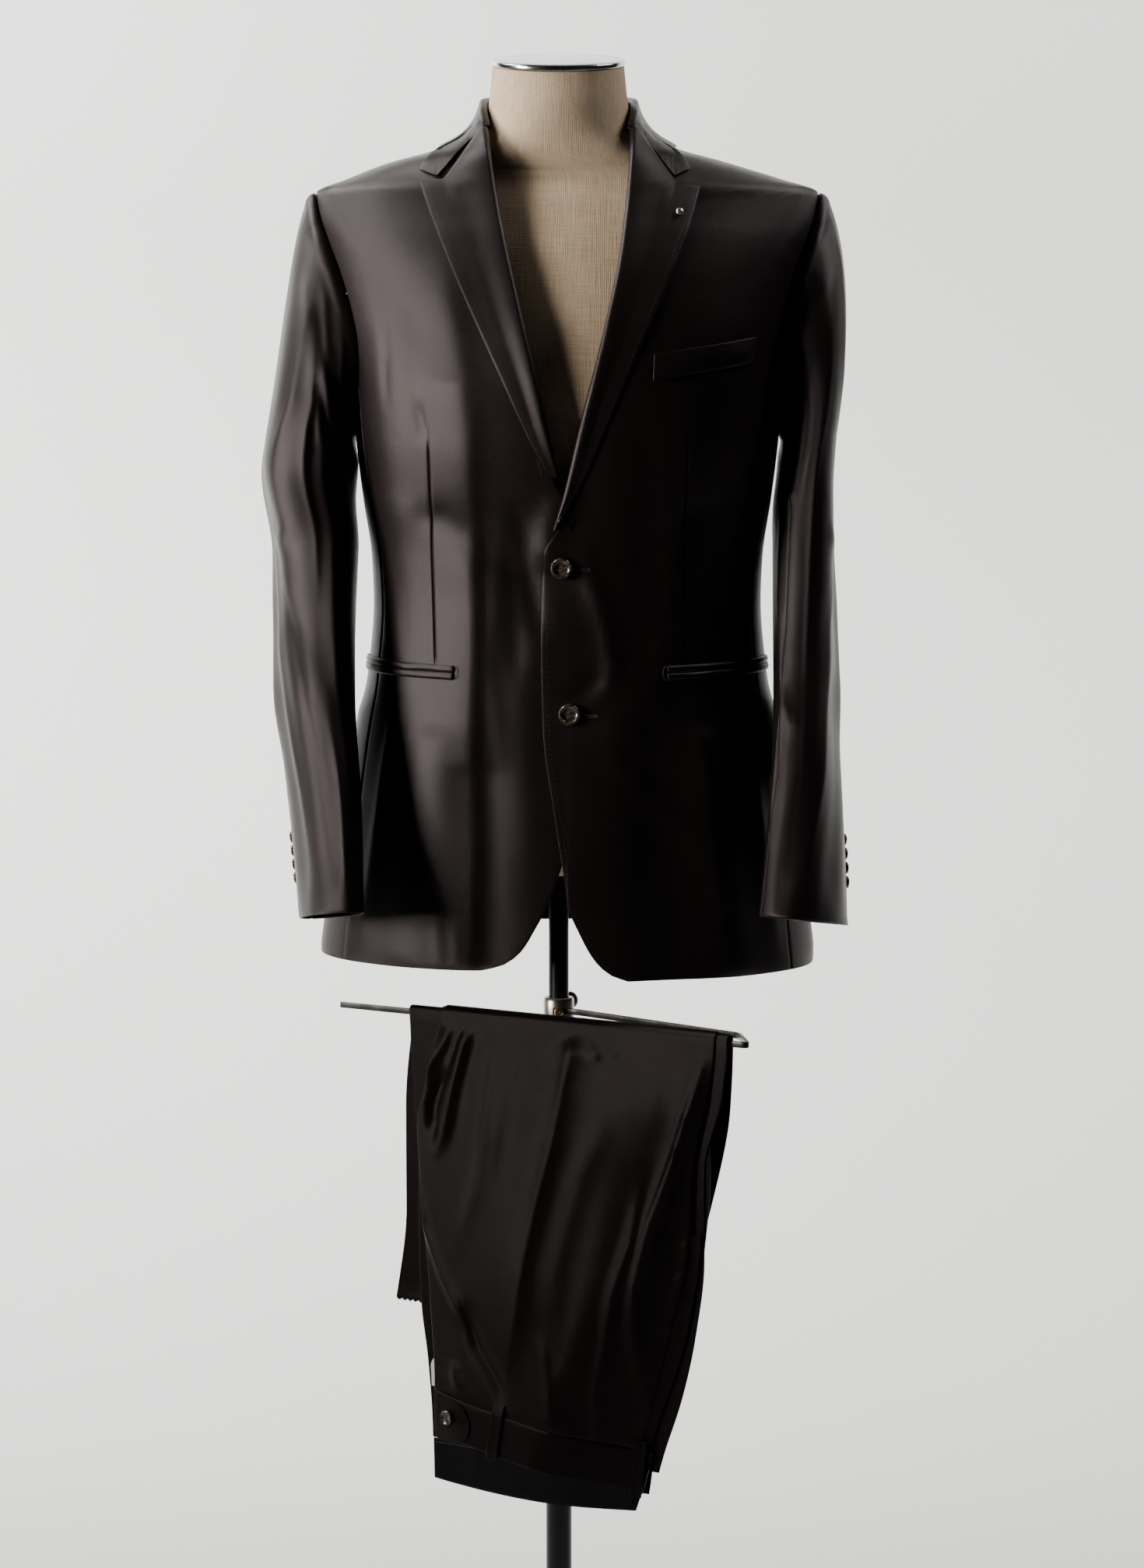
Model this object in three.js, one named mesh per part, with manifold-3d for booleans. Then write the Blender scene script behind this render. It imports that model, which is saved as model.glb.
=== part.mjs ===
// A two-button business suit on a dress form: the jacket is worn by a linen half form on a pole,
// and the trousers hang upside down over a flat hairpin bar fixed to that pole.
// Millimetres, +Z up, origin on the floor under the pole, the wearer faces -Y,
// so +X is the wearer's left.
import * as THREE from 'three';
import { mergeVertices } from 'three/addons/utils/BufferGeometryUtils.js';
import Module from 'manifold-3d';

// ---- driving dimensions -------------------------------------------------------------------
const jacketWall = 2;          // pressed cloth with its canvas and facing
const lightWall = 1.5;         // lapels, collar, welts
const trouserWall = 1.1;       // a single layer of trouser cloth
const seam = 0.17;             // every piece stops this far short of its seam line
const layGap = 0.9;            // what lies on a panel keeps this distance from it

const hem = { right: 789, left: 780, back: 799 };
const armhole = { top: 1483, bottom: 1262, forward: 0.40, backward: 0.44 };
// the armhole's points as turns from the shoulder tip, closer together over the shoulder
const armholeTurns = [0, 9, 21, 37, 55, 76, 99, 124, 146, 164, 180, 196, 214, 236, 261, 284, 305,
  323, 339, 351, 360];
const armholePoints = armholeTurns.length - 1;
const frontSeamPoint = 7;      // armhole points where the side panel starts and ends
const backSeamPoint = 13;
const overlap = { lift: 3, full: 45, none: 85, fadeFrom: 1250, fadeTo: 1300 };
const ventTop = 1035;
const ventSpring = 7;

const pole = { rod: 9.25, tubeInside: 9.6, tube: 12, clamp: 14.3, clampBase: 702, clampTop: 745 };
const rod = { foot: 430, top: 929.6 };
const base = { radius: 165, edge: 9, height: 16, hub: 22, hubTop: 34 };
const bar = { thick: 3, tall: 5.7, middle: 734 };
const neckTilt = Math.tan(THREE.MathUtils.degToRad(10.6));

// ---- small helpers ------------------------------------------------------------------------
const degrees = THREE.MathUtils.degToRad;
const { lerp, smoothstep } = THREE.MathUtils;
const vec = (x, y, z) => new THREE.Vector3(x, y, z);

function table(columns, rows) {
  return rows.map((row) => Object.fromEntries(columns.map((name, i) => [name, row[i]])));
}

// reads one column of a table at any key, along a cubic that never overshoots
function reader(rows, key, value) {
  const keys = rows.map((row) => row[key]);
  const values = rows.map((row) => row[value]);
  const last = rows.length - 1;
  const rise = (i) => (values[i + 1] - values[i]) / (keys[i + 1] - keys[i]);
  const slopes = values.map((_, i) => {
    if (i === 0) return rise(0);
    if (i === last) return rise(last - 1);
    const before = rise(i - 1);
    const after = rise(i);
    return before * after > 0 ? (2 * before * after) / (before + after) : 0;
  });
  return (at) => {
    const x = THREE.MathUtils.clamp(at, keys[0], keys[last]);
    let i = 0;
    while (i < last - 1 && x > keys[i + 1]) i += 1;
    const span = keys[i + 1] - keys[i];
    const t = (x - keys[i]) / span;
    const back = 1 - t;
    return values[i] * (1 + 2 * t) * back * back + values[i + 1] * t * t * (3 - 2 * t)
      + slopes[i] * span * t * back * back - slopes[i + 1] * span * t * t * back;
  };
}

function readers(rows, key, names) {
  return Object.fromEntries(names.map((name) => [name, reader(rows, key, name)]));
}

// a soft fold is a bump about a straight stretch drawn on the flat cloth
function foldHeight(folds, u, v) {
  let height = 0;
  for (const fold of folds) {
    const du = fold.u1 - fold.u0;
    const dv = fold.v1 - fold.v0;
    const along = ((u - fold.u0) * du + (v - fold.v0) * dv) / (du * du + dv * dv);
    const t = THREE.MathUtils.clamp(along, 0, 1);
    const away = Math.hypot(u - fold.u0 - t * du, v - fold.v0 - t * dv) / fold.width;
    height += fold.height * Math.exp(-away * away);
  }
  return height;
}

// the point of a surface moved out along its own normal
function lifted(surface, u, v, out) {
  const { du, dv, vMin, vMax } = surface;
  const lower = Math.max(v - dv, vMin);
  const upper = Math.min(v + dv, vMax);
  const acrossIt = surface.at(u + du, v).sub(surface.at(u - du, v));
  const alongIt = surface.at(u, upper).sub(surface.at(u, lower));
  const normal = acrossIt.cross(alongIt).normalize().multiplyScalar(surface.faces);
  return surface.at(u, v).addScaledVector(normal, out + surface.folds(u, v));
}

function normalOf(surface, u, v) {
  return lifted(surface, u, v, 5).sub(lifted(surface, u, v, 0)).normalize();
}

function grid(columns, rows, place) {
  const steps = (count) => Array.from({ length: count + 1 }, (_, i) => i);
  return steps(rows).map((j) => steps(columns).map((i) => place(i, j)));
}

// draws the border of a grid in, so that pieces stop short of their seams
function trimmed(points, gap = seam) {
  const lastRow = points.length - 1;
  const lastColumn = points[0].length - 1;
  return points.map((row, j) => row.map((point, i) => {
    const neighbours = [];
    if (j === 0) neighbours.push(points[1][i]);
    if (j === lastRow) neighbours.push(points[lastRow - 1][i]);
    if (i === 0) neighbours.push(row[1]);
    if (i === lastColumn) neighbours.push(row[lastColumn - 1]);
    const moved = point.clone();
    for (const other of neighbours) moved.add(other.clone().sub(point).setLength(gap));
    return moved;
  }));
}

function volumeOf(points, faces) {
  let volume = 0;
  for (let f = 0; f < faces.length; f += 3) {
    const [a, b, c] = [points[faces[f]], points[faces[f + 1]], points[faces[f + 2]]];
    volume += a.dot(b.clone().cross(c)) / 6;
  }
  return volume;
}

function solid(points, faces) {
  const turned = volumeOf(points, faces) < 0;
  const geometry = new THREE.BufferGeometry();
  geometry.setAttribute('position',
    new THREE.Float32BufferAttribute(points.flatMap((p) => [p.x, p.y, p.z]), 3));
  geometry.setIndex(turned ? faces.reverse() : faces);
  return geometry;
}

// a closed wall between an outer and an inner grid of points
function wall(outerGrid, innerGrid) {
  const outer = trimmed(outerGrid);
  const inner = trimmed(innerGrid);
  const rows = outer.length;
  const columns = outer[0].length;
  const faces = [];
  const id = (j, i, layer) => layer * rows * columns + j * columns + i;
  const quad = (a, b, c, d) => faces.push(a, b, c, a, c, d);
  const top = rows - 1;
  const end = columns - 1;
  for (let j = 0; j < top; j += 1) {
    for (let i = 0; i < end; i += 1) {
      quad(id(j, i, 0), id(j, i + 1, 0), id(j + 1, i + 1, 0), id(j + 1, i, 0));
      quad(id(j, i, 1), id(j + 1, i, 1), id(j + 1, i + 1, 1), id(j, i + 1, 1));
    }
  }
  for (let i = 0; i < end; i += 1) {
    quad(id(0, i, 1), id(0, i + 1, 1), id(0, i + 1, 0), id(0, i, 0));
    quad(id(top, i, 0), id(top, i + 1, 0), id(top, i + 1, 1), id(top, i, 1));
  }
  for (let j = 0; j < top; j += 1) {
    quad(id(j, 0, 0), id(j + 1, 0, 0), id(j + 1, 0, 1), id(j, 0, 1));
    quad(id(j + 1, end, 1), id(j + 1, end, 0), id(j, end, 0), id(j, end, 1));
  }
  return solid([...outer.flat(), ...inner.flat()], faces);
}

// a wall on a surface: place(i, j) gives the surface coordinates and how far out it lies
function clothWall(surface, columns, rows, thickness, place) {
  const spots = grid(columns, rows, place);
  const layer = (depth) => spots.map((row) => row.map(
    (spot) => lifted(surface, spot.u, spot.v, (spot.out ?? 0) - depth)));
  return wall(layer(0), layer(thickness));
}

// rings stacked into one closed body
function stackedRings(rings) {
  const around = rings[0].length;
  const points = rings.flat();
  const faces = [];
  for (let j = 0; j < rings.length - 1; j += 1) {
    for (let i = 0; i < around; i += 1) {
      const next = (i + 1) % around;
      const [a, b] = [j * around + i, j * around + next];
      faces.push(a, b, b + around, a, b + around, a + around);
    }
  }
  const centreOf = (ring) => ring.reduce((sum, p) => sum.add(p), vec(0, 0, 0))
    .divideScalar(around);
  const foot = points.push(centreOf(rings[0])) - 1;
  const head = points.push(centreOf(rings[rings.length - 1])) - 1;
  const lastRing = (rings.length - 1) * around;
  for (let i = 0; i < around; i += 1) {
    const next = (i + 1) % around;
    faces.push(foot, next, i, head, lastRing + i, lastRing + next);
  }
  return solid(points, faces);
}

// a turned part from its half profile, as radius and height pairs about +Z
function turned(profile, segments = 24) {
  const geometry = new THREE.LatheGeometry(profile.map(([r, z]) => new THREE.Vector2(r, z)),
    segments);
  geometry.rotateX(Math.PI / 2);
  return geometry;
}

// ---- materials ----------------------------------------------------------------------------
const finish = (color, roughness, metalness) =>
  new THREE.MeshStandardMaterial({ color, roughness, metalness });

const finishes = {
  satin: () => finish(0x2c2427, 0.42, 0),
  trouserSatin: () => finish(0x292225, 0.42, 0),
  lining: () => finish(0x151823, 0.5, 0),
  horn: () => finish(0x1e1712, 0.3, 0),
  linen: () => finish(0xb9a888, 0.9, 0),
  chrome: () => finish(0xcfd2d4, 0.12, 1),
  nickel: () => finish(0xb5ab9a, 0.3, 1),
  brass: () => finish(0xb08a4a, 0.35, 1),
  blackSteel: () => finish(0x101012, 0.35, 0.4),
  gunmetal: () => finish(0x3a3634, 0.35, 0.9),
  zipTape: () => finish(0xb9b4a6, 0.8, 0),
};

const group = new THREE.Group();

function add(name, geometry, material) {
  const mesh = new THREE.Mesh(geometry, material);
  mesh.name = name;
  group.add(mesh);
  return mesh;
}

const sides = [{ name: 'right', hand: -1 }, { name: 'left', hand: 1 }];

// ---- the jacket's body as rings -----------------------------------------------------------
// Above the shoulder tip the rings narrow quickly, so they close into a rounded shoulder.
const bodyRings = table(['z', 'middle', 'halfWidth', 'front', 'back', 'power'], [
  [770, 8, 228, 140, 142, 2.05],
  [840, 8, 219, 139, 137, 2.05],
  [900, 8, 210, 137, 131, 2.1],
  [980, 8, 196, 132, 120, 2.25],
  [1050, 8, 183, 126, 108, 2.3],
  [1115, 8, 177.5, 124, 101, 2.3],
  [1154, 8, 179, 127, 102, 2.3],
  [1206, 8, 186.5, 134, 107, 2.35],
  [1262, 8, 193, 140, 113, 2.4],
  [1300, 8, 196, 141, 116, 2.4],
  [1345, 8, 201, 136, 117, 2.4],
  [1400, 8, 215, 122, 113, 2.3],
  [1440, 8, 226, 107, 107, 2.25],
  [1460, 8, 229.5, 98, 102, 2.2],
  [1483, 8, 228, 88, 95, 2.2],
  [1495, 5, 197, 84, 91, 2.2],
  [1510, 0, 152, 80, 86, 2.2],
  [1521, 0, 111, 77, 83, 2.2],
  [1532, 0, 87, 75, 80, 2.2],
  [1545, 0, 69, 74, 78, 2.2],
]);
const bodyRing = readers(bodyRings, 'z', ['middle', 'halfWidth', 'front', 'back', 'power']);

// folds of the body: u is the angle in hundredths of a radian, v the height
const bodyFolds = table(['u0', 'v0', 'u1', 'v1', 'width', 'height'], [
  [-70, 800, -62, 990, 14, 4],
  [-34, 790, -38, 960, 13, -3.5],
  [42, 785, 40, 960, 13, -3.5],
  [72, 790, 64, 990, 14, 4.5],
  [22, 1000, 46, 1085, 12, 3],
  [-12, 1140, -60, 1190, 14, -2.5],
  [14, 1140, 60, 1195, 14, -2.5],
  [-150, 800, -140, 1010, 18, 3.5],
  [150, 800, 140, 1010, 18, 3.5],
  [-240, 1200, -205, 1330, 20, 3],
  [240, 1200, 205, 1330, 20, 3],
]);

// the angle runs from the centre front (0) over the wearer's left side to the back (pi)
function ringPoint(ring, angle, z) {
  const power = 2 / ring.power;
  const across = Math.sign(Math.sin(angle)) * Math.abs(Math.sin(angle)) ** power;
  const ahead = Math.sign(Math.cos(angle)) * Math.abs(Math.cos(angle)) ** power;
  const depth = ahead > 0 ? ring.front : ring.back;
  return vec(ring.middle + ring.halfWidth * across, -depth * ahead, z);
}

function ringAt(ring, z) {
  return Object.fromEntries(Object.entries(ring).map(([name, read]) => [name, read(z)]));
}

const body = {
  at: (angle, z) => ringPoint(ringAt(bodyRing, z), angle, z),
  folds: (angle, z) => foldHeight(bodyFolds, angle * 100, z) * smoothstep(1350 - z, 0, 60),
  du: 0.01, dv: 0.5, vMin: 760, vMax: 1545, faces: 1,
};

// the angle at which the front of the body has this x
function angleAt(x, z) {
  const share = (x - bodyRing.middle(z)) / bodyRing.halfWidth(z);
  const bounded = THREE.MathUtils.clamp(Math.abs(share), 0, 1) ** (bodyRing.power(z) / 2);
  return Math.sign(share) * Math.asin(bounded);
}

// the armhole is a loop on the body: point 0 is the shoulder tip, then it runs to the front
function armholeSpot(hand, turn) {
  const reach = Math.sin(turn) > 0 ? armhole.forward : armhole.backward;
  const middle = (armhole.top + armhole.bottom) / 2;
  const half = (armhole.top - armhole.bottom) / 2;
  return {
    u: hand * (Math.PI / 2 - reach * Math.sin(turn)),
    v: middle + half * Math.cos(turn),
  };
}
const armholePoint = (hand, index) => armholeSpot(hand, degrees(armholeTurns[index]));
const seamTop = armholePoint(1, frontSeamPoint).v;

// rows from the hem to the armhole as shares of that height, close together at the round corner
const lowerRows = [0, 0.012, 0.037, 0.08, 0.135, 0.21, 0.31, 0.42, 0.53, 0.63, 0.73, 0.82, 0.91, 1];
const lastLower = lowerRows.length - 1;

const frontEdges = {
  right: table(['z', 'x'], [
    [789, -69], [794, -50], [807, -33], [828, -20], [845, -11], [865, -3], [890, 5],
    [930, 12], [980, 16], [1190, 16], [1225, -4], [1287, -17], [1377, -38], [1455, -55],
    [1513, -62],
  ]),
  left: table(['z', 'x'], [
    [780, 62], [787, 45], [801, 31], [825, 18], [846, 9], [880, 3], [927, -4], [994, -13],
    [1072, -15], [1159, -12], [1180, 0], [1206, 8], [1270, 24], [1357, 45], [1431, 60],
    [1513, 69],
  ]),
};
const neckline = table(['angle', 'z'], [
  [22, 1513], [38, 1521], [60, 1529], [90, 1539], [120, 1541], [150, 1541], [180, 1541],
]);
const necklineZ = reader(neckline, 'angle', 'z');
const gorgeZ = neckline[0].z;
const hemHeight = (angle) => lerp(angle < 0 ? hem.right : hem.left, hem.back,
  smoothstep(Math.abs(angle), degrees(75), degrees(150)));

// the two fronts meet over each other, the wearer's left one on top
function overlapLift(hand, x, z) {
  if (hand < 0) return 0;
  return overlap.lift * (1 - smoothstep(x, overlap.full, overlap.none))
    * (1 - smoothstep(z, overlap.fadeFrom, overlap.fadeTo));
}

function sideSeams(hand, share) {
  const front = armholePoint(hand, frontSeamPoint).u;
  const back = armholePoint(hand, backSeamPoint).u;
  return {
    front: lerp(hand * degrees(64), front, share),
    back: lerp(hand * degrees(114), back, share),
  };
}

function bodySpot(hand, angle, z) {
  const x = body.at(angle, z).x;
  return { u: angle, v: z, out: Math.abs(angle) < 1 ? overlapLift(hand, x, z) : 0 };
}

// between the seam's top and the shoulder the rows follow the armhole on one side
function upperSpot(from, to, hole, holeFrom, holeTo, t, s) {
  const slack = s ** 1.5;
  const bend = (name) => (hole[name] - lerp(holeFrom[name], holeTo[name], t)) * slack;
  return { u: lerp(from.u, to.u, t) + bend('u'), v: lerp(from.v, to.v, t) + bend('v') };
}
const turnShare = (index) => 1 - Math.min(armholeTurns[index], 360 - armholeTurns[index])
  / armholeTurns[frontSeamPoint];

// the upper border: round the neck for some columns, then down the shoulder seam to its tip
function neckAndShoulder(hand, s, neckShare, fromAngle) {
  if (s <= neckShare) {
    const angle = lerp(fromAngle, 90, s / neckShare);
    return { u: hand * degrees(angle), v: necklineZ(angle) };
  }
  const down = (s - neckShare) / (1 - neckShare);
  return { u: hand * Math.PI / 2, v: lerp(necklineZ(90), armhole.top, down) };
}

function frontPanel(side) {
  const columns = 9;
  const edge = reader(frontEdges[side.name], 'z', 'x');
  const gorge = THREE.MathUtils.radToDeg(angleAt(edge(gorgeZ), gorgeZ));
  const lowerSpot = (s, share) => {
    const startZ = lerp(hem[side.name], seamTop, share);
    const angle = lerp(angleAt(edge(startZ), startZ), sideSeams(side.hand, share).front, s);
    return { u: angle, v: lerp(hemHeight(angle), seamTop, share) };
  };
  const place = (i, j) => {
    const s = i / columns;
    if (j <= lastLower) {
      const spot = lowerSpot(s, lowerRows[j]);
      return bodySpot(side.hand, spot.u, spot.v);
    }
    const index = frontSeamPoint + lastLower - j;
    const t = turnShare(index);
    const top = neckAndShoulder(side.hand, s, 3 / columns, gorge * side.hand);
    const hole = armholePoint(side.hand, index);
    const spot = upperSpot(lowerSpot(s, 1), top, hole, armholePoint(side.hand, frontSeamPoint),
      armholePoint(side.hand, 0), t, s);
    const z = lerp(seamTop, gorgeZ, t);
    const straight = lerp(lowerSpot(0, 1).u, degrees(gorge), t);
    spot.u += (angleAt(edge(z), z) - straight) * (1 - s) ** 1.5;
    return bodySpot(side.hand, spot.u, spot.v);
  };
  return clothWall(body, columns, lastLower + frontSeamPoint, jacketWall, place);
}

function sidePanel(side) {
  const columns = backSeamPoint - frontSeamPoint;
  const place = (i, j) => {
    const share = lowerRows[j];
    const seams = sideSeams(side.hand, share);
    const top = armholePoint(side.hand, frontSeamPoint + i);
    const even = lerp(seams.front, seams.back, i / columns);
    const angle = lerp(even, top.u, share ** 3);
    return { u: angle, v: lerp(hemHeight(angle), top.v, share) };
  };
  return clothWall(body, columns, lastLower, jacketWall, place);
}

function backPanel(side) {
  const columns = 9;
  const lowerSpot = (s, share) => {
    const angle = lerp(side.hand * Math.PI, sideSeams(side.hand, share).back, s);
    return { u: angle, v: lerp(hemHeight(angle), seamTop, share) };
  };
  const place = (i, j) => {
    const s = i / columns;
    if (j <= lastLower) {
      const spot = lowerSpot(s, lowerRows[j]);
      const sprung = (1 - smoothstep(spot.v, ventTop - 120, ventTop)) * smoothstep(s, 0.5, 1);
      return { ...spot, out: ventSpring * sprung };
    }
    const index = backSeamPoint + j - lastLower;
    return upperSpot(lowerSpot(s, 1), neckAndShoulder(side.hand, s, 3 / columns, 180),
      armholePoint(side.hand, index), armholePoint(side.hand, backSeamPoint),
      armholePoint(side.hand, armholePoints), turnShare(index), s);
  };
  return clothWall(body, columns, lastLower + armholePoints - backSeamPoint, jacketWall, place);
}

for (const side of sides) {
  add(`front_${side.name}`, frontPanel(side), finishes.satin());
  add(`side_${side.name}`, sidePanel(side), finishes.satin());
  add(`back_${side.name}`, backPanel(side), finishes.satin());
}

// ---- collar -------------------------------------------------------------------------------
// The collar turns over along its crest: the stand goes down inside to the neckline, the fall
// goes out over the shoulders to its outer edge. Each line runs from the centre back (0) to the
// front end (1) on the wearer's left.
const collarColumns = ['at', 'crestX', 'crestY', 'crestZ', 'footAngle', 'footLift', 'edgeLeft',
  'edgeRight', 'edgeZ'];
const collarLines = table(collarColumns, [
  [0, 0, 78, 1574, 180, 3, 180, 180, 1522],
  [0.25, 53, 57, 1572, 138, 3, 140, 140, 1524],
  [0.45, 68.7, 14, 1567, 104, 3, 106, 106, 1525],
  [0.56, 68.7, -8, 1561, 84, 3, 84, 84, 1523],
  [0.7, 68.3, -24, 1555, 68, 3, 55, 60, 1517],
  [0.85, 67, -37, 1547, 57, 2.6, 44, 47, 1509],
  [1, 64.5, -47, 1539, 49, 2.2, 35, 40.5, 1498.5],
]);
const collarLine = readers(collarLines, 'at', collarColumns.slice(1));
const collarShape = {
  columns: 20, halfTurn: 4, turnDrop: 3.2, out: 3.3, laid: 4.7, bow: 3.5, sag: 6, notch: 17,
  notchAt: 0.72,
};

function collarPoint(at, row) {
  const hand = at < 0 ? -1 : 1;
  const length = Math.abs(at);
  const line = ringAt(collarLine, length);
  const crest = vec(hand * line.crestX + 0.4, line.crestY, line.crestZ);
  const edgeAngle = hand * degrees(at < 0 ? line.edgeRight : line.edgeLeft);
  const edge = lifted(body, edgeAngle, line.edgeZ, collarShape.out);
  const footAngle = hand * degrees(line.footAngle);
  const footZ = necklineZ(line.footAngle);
  const foot = lifted(body, footAngle, footZ, 1.2).add(vec(0, 0, line.footLift));
  const outward = edge.clone().sub(crest).setZ(0).normalize();
  const turnWidth = collarShape.halfTurn * (1 - 0.3 * smoothstep(length, 0.25, 0.45));
  const drop = collarShape.turnDrop * (1 - smoothstep(length, 0.75, 1));
  const inside = crest.clone().addScaledVector(outward, -turnWidth).add(vec(0, 0, -drop));
  const outside = crest.clone().addScaledVector(outward, turnWidth).add(vec(0, 0, -drop));
  if (row <= 2) return foot.lerp(inside, row / 2);
  if (row === 3) return crest;
  // behind, the fall bows out; over the shoulders it drops to the jacket and lies on it
  const t = (row - 4) / 4;
  const { notchAt } = collarShape;
  const corner = Math.min(t / notchAt, (1 - t) / (1 - notchAt));
  const notch = collarShape.notch * smoothstep(length, 0.86, 1) * corner;
  const bow = collarShape.bow * 4 * t * (1 - t) * (1 - smoothstep(length, 0.3, 0.5));
  const lies = smoothstep(length, 0.66, 0.9) * smoothstep(t, 0.05, 0.4);
  const sag = collarShape.sag * smoothstep(length, 0.3, 0.5)
    * (1 - smoothstep(length, 0.66, 0.9)) * 4 * t * (1 - t) ** 1.4;
  const normal = normalOf(body, edgeAngle, line.edgeZ);
  const fall = outside.lerp(edge, t).addScaledVector(normal, bow).sub(vec(0, 0, notch));
  const laid = lifted(body, angleAt(fall.x, fall.z), fall.z, collarShape.laid);
  return fall.lerp(laid, lies).addScaledVector(normal, -sag);
}

// a wall whose inner side is found from the normals of the grid itself
function gridWall(points, thickness, hand = 1) {
  const rows = points.length - 1;
  const columns = points[0].length - 1;
  const inner = points.map((row, j) => row.map((point, i) => {
    const acrossIt = row[Math.min(i + 1, columns)].clone().sub(row[Math.max(i - 1, 0)]);
    const alongIt = points[Math.min(j + 1, rows)][i].clone().sub(points[Math.max(j - 1, 0)][i]);
    return point.clone().addScaledVector(acrossIt.cross(alongIt).normalize(), -hand * thickness);
  }));
  return wall(points, inner);
}

function collar() {
  const points = grid(collarShape.columns, 8,
    (i, j) => collarPoint(lerp(-1, 1, i / collarShape.columns), j));
  return gridWall(points, lightWall, -1);
}

// ---- lapels: they turn back along the roll line and lie on the fronts ---------------------
const lapelLines = {
  right: table(['at', 'rollZ', 'edgeX', 'edgeZ'], [
    [0, 1228, -12, 1236], [0.1, 1250, -26, 1262], [0.3, 1307, -49, 1312],
    [0.6, 1396, -86, 1394], [0.85, 1482, -112, 1457], [1, 1536, -122.5, 1486],
  ]),
  left: table(['at', 'rollZ', 'edgeX', 'edgeZ'], [
    [0, 1182, -2, 1186], [0.1, 1205, 16, 1214], [0.3, 1290, 58, 1308],
    [0.6, 1392, 94, 1392], [0.85, 1480, 117, 1452], [1, 1536, 126, 1483],
  ]),
};
const rollLines = {
  right: table(['z', 'x'], [
    [1220, 2], [1287, -12], [1377, -33], [1455, -50], [1510, -59], [1538, -62],
  ]),
  left: table(['z', 'x'], [
    [1170, -8], [1206, 3], [1270, 18], [1357, 40], [1431, 55], [1510, 63], [1538, 64],
  ]),
};
const lapelShape = {
  columns: 7, rows: 15, out: layGap + lightWall, rollRise: 2.4, gorge: 16.5, notchAt: 0.62,
};

function lapel(side) {
  const line = readers(lapelLines[side.name], 'at', ['rollZ', 'edgeX', 'edgeZ']);
  const rollX = reader(rollLines[side.name], 'z', 'x');
  const { columns, rows, out, rollRise, gorge, notchAt } = lapelShape;
  const place = (i, j) => {
    const at = j / rows;
    const s = (i / columns) ** 1.3;
    const corner = Math.min(s / notchAt, (1 - s) / (1 - notchAt));
    const z = lerp(line.rollZ(at), line.edgeZ(at), s) - gorge * corner * smoothstep(at, 0.8, 1);
    const x = lerp(rollX(line.rollZ(at)), line.edgeX(at), s);
    const rise = rollRise * (1 - smoothstep(s, 0, 0.45)) * (i === 0 ? 0.2 : 1)
      * smoothstep(at, 0, 0.25);
    return { u: angleAt(x, z), v: z, out: out + rise + overlapLift(side.hand, x, z) };
  };
  return clothWall(body, columns, rows, lightWall, place);
}

// ---- sleeves ------------------------------------------------------------------------------
// v runs from the armhole (0) over the sleeve head to the biceps (1) and on to the cuff (2);
// u runs round the arm from the outside (0) over the front.
const sleeveColumns = ['z', 'x', 'y', 'halfWide', 'halfDeep', 'twist'];
const sleeveRings = {
  right: table(sleeveColumns, [
    [1250, 225, -4, 41.5, 74, 0],
    [1220, 228, -9, 43, 73, 2],
    [1160, 221, -18, 38.5, 70, 6],
    [1090, 220.5, -34, 35.5, 66, 9],
    [1024, 219, -59, 34, 63, 14],
    [930, 209.5, -95, 30.5, 59, 18],
    [838, 202, -128, 27, 56, 17],
  ]),
  left: table(sleeveColumns, [
    [1250, 227, -4, 26.5, 74, 0],
    [1203, 223.5, -9, 27.5, 71, 0],
    [1113, 223, -29, 28, 67, 3],
    [1030, 223.5, -54, 28.5, 63, 8],
    [957, 224, -84, 31, 60, 14],
    [891, 222, -108, 33, 57, 24],
    [834, 219, -130, 34, 56, 32],
  ]),
};
// how far the cloth stands out at the sleeve head, and how it falls from there
const sleeveHeads = {
  right: { lead: 20, pull: 0.42, out: -2 },
  left: { lead: 14, pull: 0.66, out: 13 },
};
const sleeveFolds = table(['u0', 'v0', 'u1', 'v1', 'width', 'height'], [
  [60, 0.5, 40, 1.3, 22, 3],
  [100, 0.7, 75, 1.9, 20, -3],
  [330, 0.6, 345, 1.5, 22, 3],
  [20, 1.45, 80, 1.6, 18, 2.5],
  [250, 1.3, 300, 1.5, 22, 3],
  [10, 1.1, 15, 1.9, 18, -2.5],
]);
const sleeveTilt = 15;

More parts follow.
